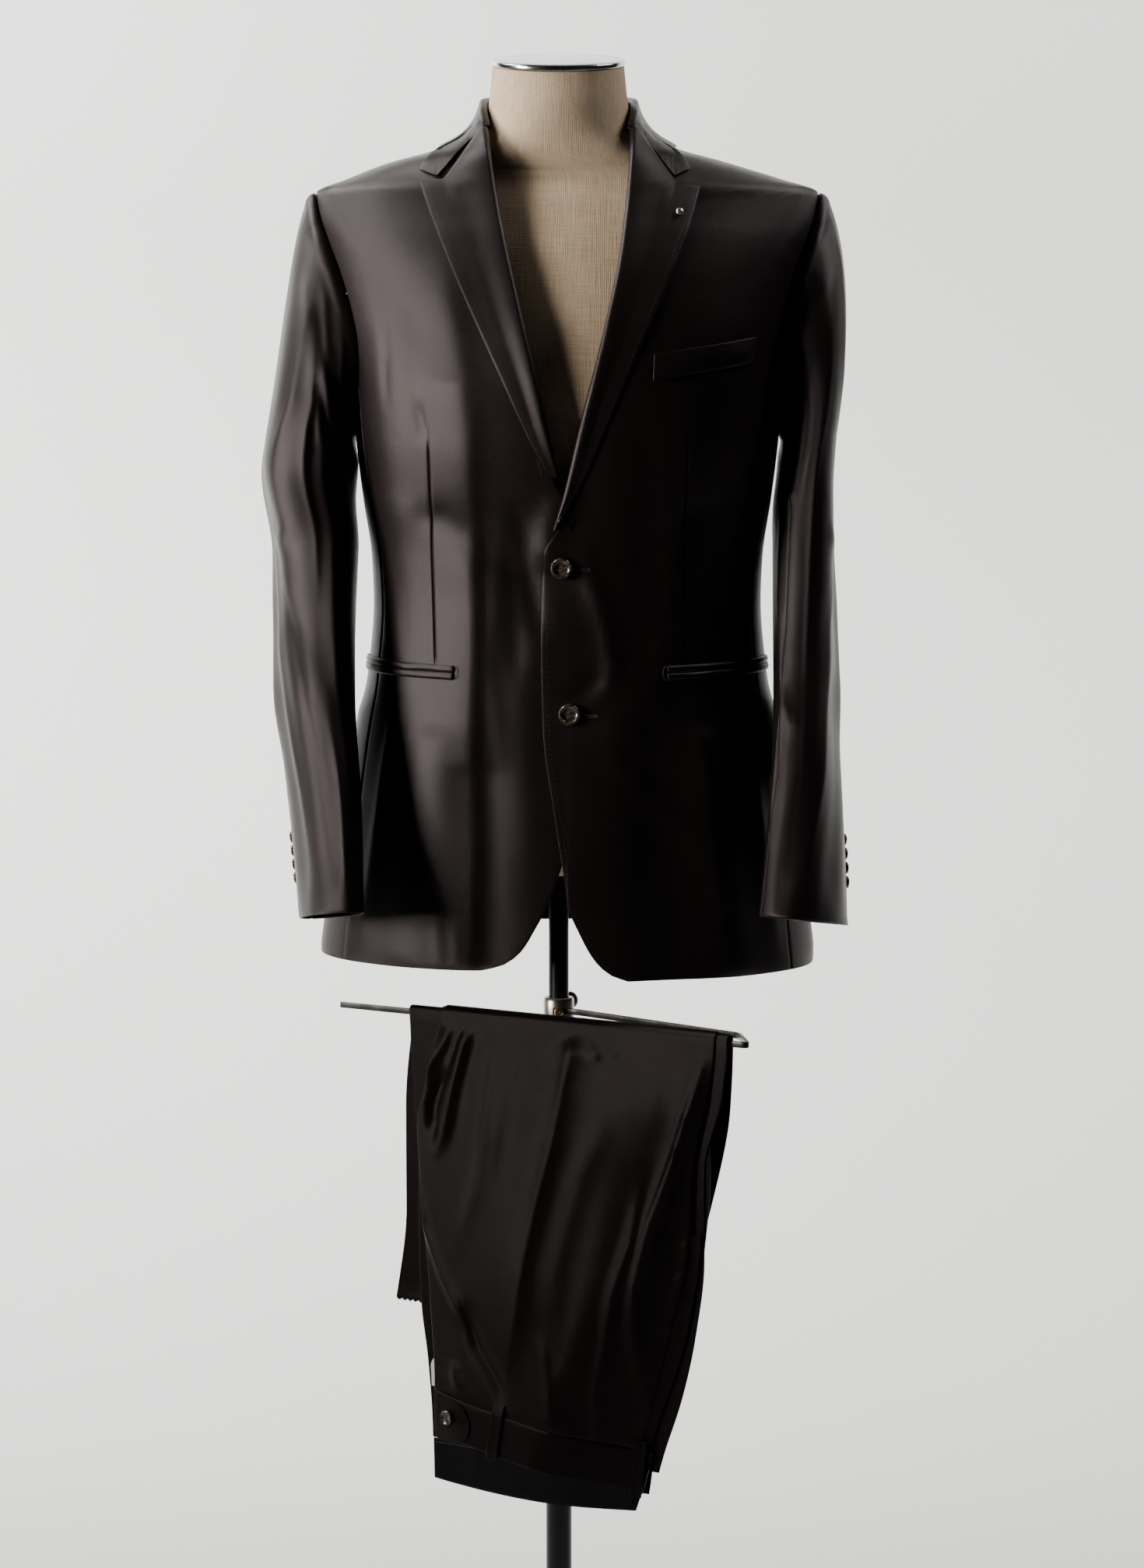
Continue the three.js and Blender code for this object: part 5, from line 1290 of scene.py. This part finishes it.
# turned hard parts, each with its rounded edges
def turnedPart(name, node, profile, material, body, slot, move=None, steps=96, width=0.4):
    mesh = turnedMesh(name, profile, steps)
    if move:
        mesh.transform(move)
    piece = pieceOf(mesh, name, [finish[material]])
    bevelled(piece, width)
    place(piece, body, slot, node)


capTurn = Matrix.Translation((0, 0, 1597.4 * mm)) @ Matrix.Rotation(math.atan(neckTilt), 4, "X")
turnedPart("neckCap", "neck_cap", [
    (0, 0), (59.3, 0), (60.5, 0.6), (60.7, 1.2), (60.7, 3.6), (60.4, 4.5), (59.4, 5.1), (45, 5.6),
    (25, 6.1), (0, 6.4)], "chrome", "form", "chrome", capTurn, 128, 0.2)
turnedPart("upperRod", "upper_rod", [(0, 430), (9.25, 430), (9.25, 929.6), (0, 929.6)],
           "blackSteel", "rod", "black_steel")
turnedPart("lowerTube", "lower_tube", [
    (9.6, 20), (12, 20), (12, 730), (9.6, 730), (9.6, 20)], "blackSteel", "stand", "black_steel")
turnedPart("roundBase", "base", [
    (0, 0), (163, 0), (165, 2), (165, 9), (161, 13), (120, 14.6), (60, 16.8), (26, 18), (22, 19.5),
    (20.5, 24), (20, 34), (12.3, 34), (12.3, 19.7), (0, 19.7)],
    "blackSteel", "stand", "black_steel")

# the clamp, its knob and the bar with its screw
turnedPart("lockCollar", "lock_collar", [
    (12.3, 702), (13.3, 702), (14.3, 703), (14.3, 742), (13.6, 744.2), (12.8, 745), (9.55, 745),
    (9.55, 730.3), (12.3, 730.3), (12.3, 702)], "nickel", "stand", "nickel", None, 96, 0.25)


def levelScrew(turn, z):
    lying = Matrix.Rotation(turn, 4, "Z") @ Matrix.Rotation(math.pi / 2, 4, "X")
    return Matrix.Translation((0, 0, z * mm)) @ lying


turnedPart("clampKnob", "clamp_knob", [
    (0, 12.9), (2, 12.9), (2, 16), (7, 16), (8, 17.5), (8, 22), (7, 23.5), (0, 23.7)], "blackSteel",
    "stand", "black_steel", levelScrew(math.radians(150), 739), 64, 0.5)
turnedPart("barScrew", "bar_screw", [
    (0, 12.9), (2, 12.9), (2, 18.6), (4.2, 18.6), (4.2, 20.2), (3.7, 21.2), (2.6, 21.6),
    (1.0, 21.7), (0.8, 21.0), (0, 21.0)], "brass", "stand", "brass", levelScrew(0, 734), 48, 0.15)

# the trouser bar: a flat hairpin with one arm on the clamp and one free
bar = {"thick": 3, "tall": 5.7, "middle": 734}
barTop = bar["middle"] + bar["tall"] / 2
barCorners = [(-204, 23.4, 0), (166.6, -202.8, 7), (161, -152, 7), (12, -17.2, 9), (-5.5, -16.1, 0)]


def barPath():
    spots = [np.array(corner[:2]) for corner in barCorners]
    line = [spots[0]]
    for before, at, after, corner in zip(spots[:-2], spots[1:-1], spots[2:], barCorners[1:-1]):
        start = at + unit(before - at) * corner[2]
        end = at + unit(after - at) * corner[2]
        line += [start * (1 - t) ** 2 + at * 2 * t * (1 - t) + end * t * t
                 for t in np.linspace(0, 1, 11)]
    return np.array(line + [spots[-1]])


def trouserBar():
    line = barPath()
    along = unit(np.gradient(line, axis=0))
    across = np.stack([-along[:, 1], along[:, 0]], 1)
    half, low, high = bar["thick"] / 2, bar["middle"] - bar["tall"] / 2, barTop
    corners = [(half, low), (half, high), (-half, high), (-half, low)]
    bm = bmesh.new()
    rings = [[bm.verts.new((*((spot + aside * wide) * mm), z * mm)) for wide, z in corners]
             for spot, aside in zip(line, across)]
    for a, b in zip(rings[:-1], rings[1:]):
        for k in range(4):
            bm.faces.new((a[k], a[(k + 1) % 4], b[(k + 1) % 4], b[k]))
    bm.faces.new(rings[0])
    bm.faces.new(rings[-1][::-1])
    bmesh.ops.recalc_face_normals(bm, faces=bm.faces)
    piece = pieceOf(meshOf(bm, "trouserBar"), "trouserBar", [finish["gunmetal"]])
    piece.data.shade_smooth()
    bevelled(piece, 0.7, 3, 50)
    place(piece, "stand", "gunmetal", "trouser_bar")


trouserBar()
print("form and stand made")

# trousers: u is the distance along the bar, v the path over it
barStart, barEnd = (np.array([x, y, 0.0]) for x, y, _ in barCorners[:2])
barRun = unit(barEnd - barStart)
hangFrom = barStart - barRun * (barStart[0] / barRun[0]) + [0, 0, barTop - 0.5]
hangAhead = np.array([barRun[1], -barRun[0], 0])
overTop = 4
trouserWall, bandExtra = 1.1, 0.5
layers = {
    "frontLeft": {"leg": "left", "front": True, "order": 0, "hem": 277, "room": -2},
    "backLeft": {"leg": "left", "front": False, "order": 1, "hem": 277, "room": 0},
    "backRight": {"leg": "right", "front": False, "order": 2, "hem": 197, "room": 0},
    "frontRight": {"leg": "right", "front": True, "order": 3, "hem": 197, "room": 2.4},
}
swingOf = readers("frontLeft backLeft backRight frontRight", [
    (0, 0, 0, 0, 0), (12, 0, 0.1, 0.3, 0.8), (60, 0, 0.6, 1.6, 7), (120, 0, 1.2, 2.8, 14),
    (200, 0, 1.8, 4, 22), (280, 0, 2.4, 5, 29), (350, -5, 2.8, 6, 34), (445, -10, 3.4, 7, 37)])
edgesOf = {
    "right": readers("left leftBack right seam", [
        (-445, -108, -127, 82, 79), (-400, -109, -128, 97.5, 87), (-377, -110, -129, 104, 88),
        (-345, -111, -130, 114, 98), (-295, -116, -135, 133, 112), (-245, -122, -143, 146, 126),
        (-181, -131, -146, 155, 142), (-107, -140, -146, 155, 146), (-45, -128, -138, 172, 160),
        (0, -120, -124, 177, 166), (60, -112, -114, 173, 161), (197, -66, -68, 142, 138)]),
    "left": readers("left leftBack right seam", [
        (-445, -108, -126, 80, 77), (-400, -109, -127, 93, 86), (-377, -110, -128, 100, 87),
        (-345, -112, -129, 112, 98), (-295, -118, -134, 131, 112), (-245, -126, -142, 143, 126),
        (-181, -136, -146, 153, 144), (-107, -146, -150, 160, 149), (-45, -153, -156, 157, 146),
        (0, -158, -159, 150, 140), (90, -168, -169, 132, 124), (190, -168, -169, 82, 78),
        (277, -180, -181, 36, 34)]),
}
trouserCreases = [
    (24, 9.0, 1.0, [(34, 90), (20, -36), (11, -100), (-3, -160), (-13, -212), (-20, -265),
                         (-29, -312), (-36, -346)]),
    (9, 5.6, 1.7, [(160, 20), (147, -57), (130, -113), (112, -167), (98, -225), (94, -264),
                         (97, -310), (104, -350)]),
    (3.2, 2.6, 1.6, [(160, -6), (145, -57), (126, -113), (106, -167), (93, -225), (90, -264),
                          (94, -310)]),
    (2.4, 1.8, 1.6, [(162, -16), (153, -60), (135, -116), (116, -170), (102, -228), (99, -268)]),
    (6, 3.2, 1.6, [(100, -120), (90, -186), (76, -232), (69, -281), (59, -325), (54, -400)]),
    (12, 1.6, 2.0, [(64, -60), (40, -130), (18, -220), (14, -300)]),
    (7, 4.6, 1.6, [(-104, 14), (-116, -26), (-126, -42), (-142, -70)]),
    (7, 5.4, 1.7, [(-86, 16), (-95, -30), (-103, -69), (-109, -108), (-120, -138)]),
    (7, -5.5, 2.0, [(-112, -44), (-124, -84), (-122, -120)]),
    (5, 3.0, 1.4, 0.3, [(-136, -140), (-128, -192), (-105, -237), (-79, -273), (-66, -300)]),
    (7, -3.4, 1.8, [(-84, -250), (-62, -296), (-38, -326), (-26, -356)]),
    (9, 2.0, 1.8, [(-60, 20), (-66, -60), (-70, -150), (-92, -230)]),
    (7, -1.8, 1.8, [(-30, 10), (-40, -80), (-50, -180)]),
    (5, 1.8, 1.8, [(36, 2), (42, -14), (52, -30)]),
    (5, 1.6, 1.8, [(58, 2), (60, -12), (70, -24)]),
    (5, 1.8, 1.8, [(-84, -312), (-86, -326), (-80, -340)]),
    (6, 1.6, 1.8, [(4, -270), (14, -320), (20, -372)]),
    (6, 1.4, 1.8, [(150, -150), (138, -210), (120, -270)]),
]
# the layers that hang behind have their own long folds, with a few creases where the leg ends
rearCreases = [
    (6, 1.6, 1.7, [(-160, 20), (-166, 110), (-170, 300)]),
    (5, 1.2, 1.7, [(-174, 60), (-177, 160), (-178, 300)]),
    (9, 2.0, 1.7, [(-60, 10), (-72, 110), (-80, 300)]),
    (9, -1.8, 1.7, [(10, 10), (-6, 120), (-20, 300)]),
    (9, 2.2, 1.7, [(84, 10), (62, 120), (30, 300)]),
    (7, 1.4, 1.7, [(140, 20), (128, 90), (110, 220)]),
]


def trouserSurface(name):
    how = layers[name]
    radius = bar["thick"] / 2 + 0.45 + trouserWall + 1.5 * how["order"]
    edges = edgesOf[how["leg"]]
    facing = name == "frontRight"

    def at(u, v):
        u, v = np.broadcast_arrays(np.asarray(u, float), np.asarray(v, float))
        point = hangFrom + barRun * u[..., None]
        turn = np.clip(v / overTop, 0, 1) * np.pi
        drop = np.maximum(v - overTop, 0)
        spread = (1.5 + 1.3 * how["order"]) * smooth(drop, 4, 90)
        fromSide = smooth(edges["right"](v) - u, -6, 105)
        fromFly = mix(0.75, 1, smooth(u - edges["left"](v), -30, 45)) if facing else 1
        swung = swingOf[name](-v) * fromSide * fromFly + how["room"] * smooth(-v, 10, 75)
        sides = [v < 0, v > overTop]
        ahead = np.select(sides, [radius + swung, -radius - spread], radius * np.cos(turn))
        z = np.select(sides, [v, -drop], radius * np.sin(turn))
        return point + hangAhead * ahead[..., None] + stack(0, 0, z)

    def relief(u, v):
        ripple = wander(u / 13 + v / 60, how["order"]) * wander(v / 37, 1.0)
        height = 0.2 * ripple * smooth(-v, 8, 40)
        if facing:
            folds = creaseHeight(trouserCreases, u, v)
            return height + folds * smooth(-v, -2, 26) * smooth(edges["right"](v) - u, 0, 30)
        return height - creaseHeight(rearCreases, u, v) * smooth(v, 10, 60) * 0.35

    return Surface(at, relief, du=0.5, dv=0.5, low=-460, high=400)


def waistSeam(name, u):
    return 344 + (u + 107) * 0.165 if layers[name]["front"] else 397 + 0 * u


def waistEdge(name, u):
    return 382 + (u + 107) * 0.178 if layers[name]["front"] else 441 - 6 * ((u + 20) / 107) ** 2


trouserSurfaces = {name: trouserSurface(name) for name in layers}
trouserCloth = {"materials": [finish["trousers"], finish["lining"]], "wall": trouserWall,
                "inner": 0, "round": 0.4, "body": "stand", "slot": "trouser_satin", "held": "hung"}
slantedMouth = {"from": 372, "to": 176}
pinkedHem = {"deep": 3, "pitch": 6, "fade": (14, 4)}     # the zigzag of the left leg's cut end


# frontRight names the node waistband_front_right and the piece waistbandFrontRight
def names(kind, layer):
    split = layer.find("L") if "L" in layer else layer.find("R")
    return kind + layer[0].upper() + layer[1:], (layer[:split] + "_" + layer[split:]).lower()


def trouserPanel(name):
    how = layers[name]
    edges = edgesOf[how["leg"]]
    facing = name == "frontRight"
    share = 1 - spaced(96 if facing else 44, 370, end=False)
    over = np.linspace(0, overTop, 9)[1:]
    drops = overTop + how["hem"] * spaced(30, how["hem"], start=False)[1:]
    path = np.concatenate([-share * 360, 0 * over, drops - overTop])[:, None]
    pinked = how["leg"] == "left"
    s = spaced(96 if facing else 220 if pinked else 44, 230)[None, :]
    left = edges["left" if how["front"] else "leftBack"](path)
    right = edges["seam" if how["front"] else "right"](path)
    u = mix(left, right, s)
    front = -np.concatenate([share, 0 * over, 0 * drops])[:, None] * waistSeam(name, u)
    teeth = pinkedHem["deep"] * np.abs((u / pinkedHem["pitch"]) % 1 * 2 - 1) * pinked
    teeth = teeth * smooth(path, *(how["hem"] - fade for fade in pinkedHem["fade"]))
    v = np.where(path < 0, front, np.concatenate([0 * share, over, drops])[:, None] - teeth)
    points, normals = trouserSurfaces[name].lay(u, v)
    away = measure(points)
    relief = -0.5 * bell(away["bottom"], 1.4) - 0.3 * bell(away["left"], 1.2)
    if how["front"]:
        atMouth = smooth(-path, slantedMouth["to"] - 8, slantedMouth["to"])
        pull = 0.5 + 0.55 * wander(path / 2.3, 1.0) + 0.4 * wander(path / 6.1, 4.0)
        relief = (relief + atMouth * pull * bell(away["right"] - 3.5, 3.2)
                  - 0.5 * bell(away["right"], 1.0))
    title, node = names("trouser", name)
    cloth(title, points, normals, relief, trouserCloth, "trouser_" + node, "trouser_bar")


def waistband(name):
    how = layers[name]
    edges = edgesOf[how["leg"]]
    t = spaced(22, 40)[:, None]
    path = mix(-372, -410, t) if how["front"] else mix(-397, -435, t)
    left = edges["left" if how["front"] else "leftBack"](path)
    u = mix(left, edges["right"](path), spaced(96, 210)[None, :])
    v = -mix(waistSeam(name, u), waistEdge(name, u), t)
    points, normals = trouserSurfaces[name].lay(u, v, bandExtra)
    away = measure(points)
    relief = (0.3 * wander(u / 11, 2.0) * wander(t * 4, 1.0) - 0.5 * bell(away["bottom"], 1.1)
              - 0.35 * bell(away["top"], 1.2))
    title, node = names("waistband", name)
    cloth(title, points, normals, relief, trouserCloth, "waistband_" + node, "trouser_bar",
          wall=trouserWall + bandExtra)


# the cloth between the slanted pocket mouth and the side seam, under the front panel
def pocketSide(name):
    leg = layers[name]["leg"]
    edges = edgesOf[leg]
    path = -mix(slantedMouth["from"], slantedMouth["to"], spaced(50, 200))[:, None]
    left = edges["seam"](path) - 7
    u = mix(left, edges["right"](path) - 2, spaced(12, 20)[None, :])
    points, normals = trouserSurfaces[name].lay(u, path, -1.5 if leg == "right" else 1.5)
    cloth(names("pocketSide", name)[0], points, normals, 0, trouserCloth, "pocket_side_" + leg,
          "trouser_bar")


beltLoops = {"places": [(-39, 0.35), (92, 0.9)], "half": 6, "lean": -7, "arch": 0.9, "rib": 0.25,
             "wall": 1.2}


def beltLoop(name, n, u, lift):
    leg = layers[name]["leg"]
    t = spaced(26, 56)[:, None]
    across = np.linspace(-1, 1, 13)[None, :]
    v = -mix(waistSeam(name, u) - 9, waistEdge(name, u) + 3, t)
    high = (beltLoops["arch"] * np.clip(np.minimum(t, 1 - t) * 6, 0, 1)
            + beltLoops["rib"] * bell(np.abs(across) - 0.72, 0.2))
    out = -trouserWall - lift - high if leg == "left" else (
        bandExtra + lift + beltLoops["wall"] + high)
    u = u + across * beltLoops["half"] + (t - 0.5) * beltLoops["lean"]
    points, normals = trouserSurfaces[name].lay(u, v, out)
    cloth("beltLoop" + leg.title() + str(n + 1), points, normals, 0, trouserCloth,
          f"belt_loop_{leg}_{n + 1}", "waistband_front_" + leg, wall=beltLoops["wall"], round=0.3)


for name in layers:
    trouserPanel(name)
    waistband(name)
for name in ("frontRight", "frontLeft"):
    pocketSide(name)
    for n, (u, lift) in enumerate(beltLoops["places"]):
        beltLoop(name, n, u, lift)


def waistbandLining():
    edges = edgesOf["right"]
    t = spaced(14, 31)[:, None]
    path = -mix(400, 431, t)
    u = mix(edges["leftBack"](path) + 2, edges["right"](path) - 6, spaced(80, 200)[None, :])
    v = -mix(400, waistEdge("backRight", u) - 2, t)
    out = bandExtra + 1.4 + 0.35 * wander(u / 6, 3.0) * (1 - t)
    points, normals = trouserSurfaces["backRight"].lay(u, v, out)
    cloth("waistbandLining", points, normals, 0, trouserCloth, "waistband_lining",
          "waistband_back_right", materials=[finish["lining"]], slot="lining", wall=1.0)


waistbandLining()

# the buttoned end of the waistband, rounded at its free side
tab = {"from": -106, "to": -67, "middle": 365.5, "half": 20, "round": 19, "wall": 1.3, "out": 2.1}


def waistbandTab():
    across = np.sin(spaced(36, 42, start=False, end=False) * np.pi / 2)[None, :]
    u = mix(tab["from"], tab["to"], across)
    into = np.maximum(0, u - (tab["to"] - tab["round"])) / tab["round"]
    half = tab["half"] * np.sqrt(np.maximum(0.02, 1 - into * into))
    t = spaced(26, 40)[:, None]
    v = -(tab["middle"] + (u - tab["from"]) * 0.15 - mix(-half, half, t))
    points, normals = trouserSurfaces["frontRight"].lay(u, v, tab["out"])
    cloth("waistbandTab", points, normals, 0, trouserCloth, "waistband_tab",
          "waistband_front_right", wall=tab["wall"], round=0.45)


waistbandTab()
trouserButton = {"u": -91.5, "v": -366, "out": 0.7, "radius": 7, "thick": 3}
button("trouserButton", "trouser_button", trouserSurfaces["frontRight"], trouserButton["u"],
       trouserButton["v"], tab["out"] + trouserButton["out"], trouserButton["radius"],
       trouserButton["thick"], "stand")

zipper = {"from": 341, "shown": 316, "to": 190, "wide": 12, "under": 0.8, "wall": 1.0}


def flyZip():
    edges = edgesOf["right"]
    drop = mix(zipper["from"], zipper["to"], spaced(80, 150))[:, None]
    left = edges["left"](-drop) + mix(3, -4, smooth(drop, zipper["shown"] - 6, zipper["shown"] + 6))
    u = left + zipper["wide"] * np.linspace(0, 1, 25)[None, :]
    out = -trouserWall - zipper["under"]
    points, normals = trouserSurfaces["frontRight"].lay(u, -drop, out)
    cloth("flyZip", points, normals, 0, trouserCloth, "fly_zip", "trouser_front_right",
          materials=[finish["zipTape"]], slot="zip_tape", wall=zipper["wall"], round=0.25)


flyZip()
print("trousers hung")

for bodyName, lines in buttonThreads.items():
    threads("buttonThread" + bodyName.title(), lines, buttonThread["radius"], bodyName)

# the set: a pale floor that curves up into a wall, and a wide pale surround behind it
studio = {"floor": (0.50, 0.50, 0.485), "front": -3.2, "back": 2.6, "wide": 4.2, "high": 5.5,
          "bend": 1.6, "below": 0.0005, "round": 13000, "glow": (0.42, 0.42, 0.41)}


def cyclorama():
    bm = bmesh.new()
    bend, below = studio["bend"], studio["below"]
    profile = [(studio["front"], -below)]
    profile += [(studio["back"] - bend + bend * math.sin(t), bend * (1 - math.cos(t)) - below)
                for t in np.linspace(0, math.pi / 2, 17)]
    profile.append((studio["back"], studio["high"]))
    rows = [[bm.verts.new((x, y, z)) for x in (-studio["wide"], studio["wide"])]
            for y, z in profile]
    for a, b in zip(rows[:-1], rows[1:]):
        bm.faces.new((a[0], a[1], b[1], b[0]))
    mesh = meshOf(bm, "cyclorama")
    mesh.shade_smooth()
    g = Graph("paper")
    source, _ = g.coordinates("Object")
    cloudy = g.noise(source, 0.8, 2.0).step(0.2, 0.8)
    paper = g.node("BsdfPrincipled", {}, {
        "Base Color": g.colors(cloudy, studio["floor"], [c * 1.04 for c in studio["floor"]]),
        "Roughness": 0.9, "Specular IOR Level": 0.1,
        "Normal": g.bump(g.noise(source, 900.0, 2.0), 0.03)})
    # the wall is open from behind, so that the back can be seen
    behind = g.node("NewGeometry", out="Backfacing")
    clear = g.node("BsdfTransparent")
    g.node("OutputMaterial", {}, {
        "Surface": g.node("MixShader", {}, {0: behind, 1: paper, 2: clear})})
    return pieceOf(mesh, "cyclorama", [g.material])


# only the camera sees it
def surround():
    wide = studio["round"]
    mesh = turnedMesh("surround", [(0, -20), (wide, -20), (wide, 9000), (0, 9000)], 64)
    g = Graph("paleSurround")
    g.node("OutputMaterial", {}, {"Surface": g.node("Emission", {}, {
        "Color": (*studio["glow"], 1), "Strength": 1.0})})
    piece = pieceOf(mesh, "surround", [g.material])
    piece.visible_diffuse = piece.visible_glossy = piece.visible_transmission = False
    piece.visible_shadow = False
    return piece


cyclorama()
surround()

lamps = {
    "key": {"spot": (-2.98, -1.42, 1.6), "aim": (0, 0, 1.65), "size": (0.9, 1.3), "power": 21,
            "color": (1.0, 0.985, 0.965), "spread": 50},
    "backLeft": {"spot": (-2.4, 0.7, 3.4), "aim": (-0.8, 2.6, 1.2), "size": (2.4, 1.4),
                 "power": 300, "color": (1, 1, 1), "spread": 120},
    "backRight": {"spot": (2.4, 0.7, 3.4), "aim": (0.8, 2.6, 1.2), "size": (2.4, 1.4),
                  "power": 110, "color": (1, 1, 1), "spread": 120},
}
for name, how in lamps.items():
    lamp = bpy.data.lights.new(name, "AREA")
    lamp.shape, lamp.size, lamp.size_y = "RECTANGLE", *how["size"]
    lamp.energy, lamp.color, lamp.spread = how["power"], how["color"], math.radians(how["spread"])
    holder = linked(name, lamp)
    holder.location = how["spot"]
    toAim = Vector(how["aim"]) - Vector(how["spot"])
    holder.rotation_euler = toAim.to_track_quat("-Z", "Y").to_euler()

world = bpy.data.worlds.new("studio")
bpy.context.scene.world = world
world.use_nodes = True
sky = world.node_tree.nodes["Background"].inputs
sky["Color"].default_value, sky["Strength"].default_value = (1.0, 1.0, 0.99, 1), 0.008

view = {"lens": 85, "sensor": 36, "near": 0.05, "far": 60, "spot": (0.0123, -3.40, 1.2844),
        "down": 5.728}
lens = bpy.data.cameras.new("camera")
lens.lens, lens.sensor_width, lens.sensor_height = view["lens"], view["sensor"], view["sensor"]
lens.sensor_fit, lens.clip_start, lens.clip_end = "VERTICAL", view["near"], view["far"]
camera = linked("camera", lens)
camera.location = view["spot"]
camera.rotation_euler = (math.radians(90 - view["down"]), 0, 0)
bpy.context.scene.camera = camera
print("set, lamps and camera made")
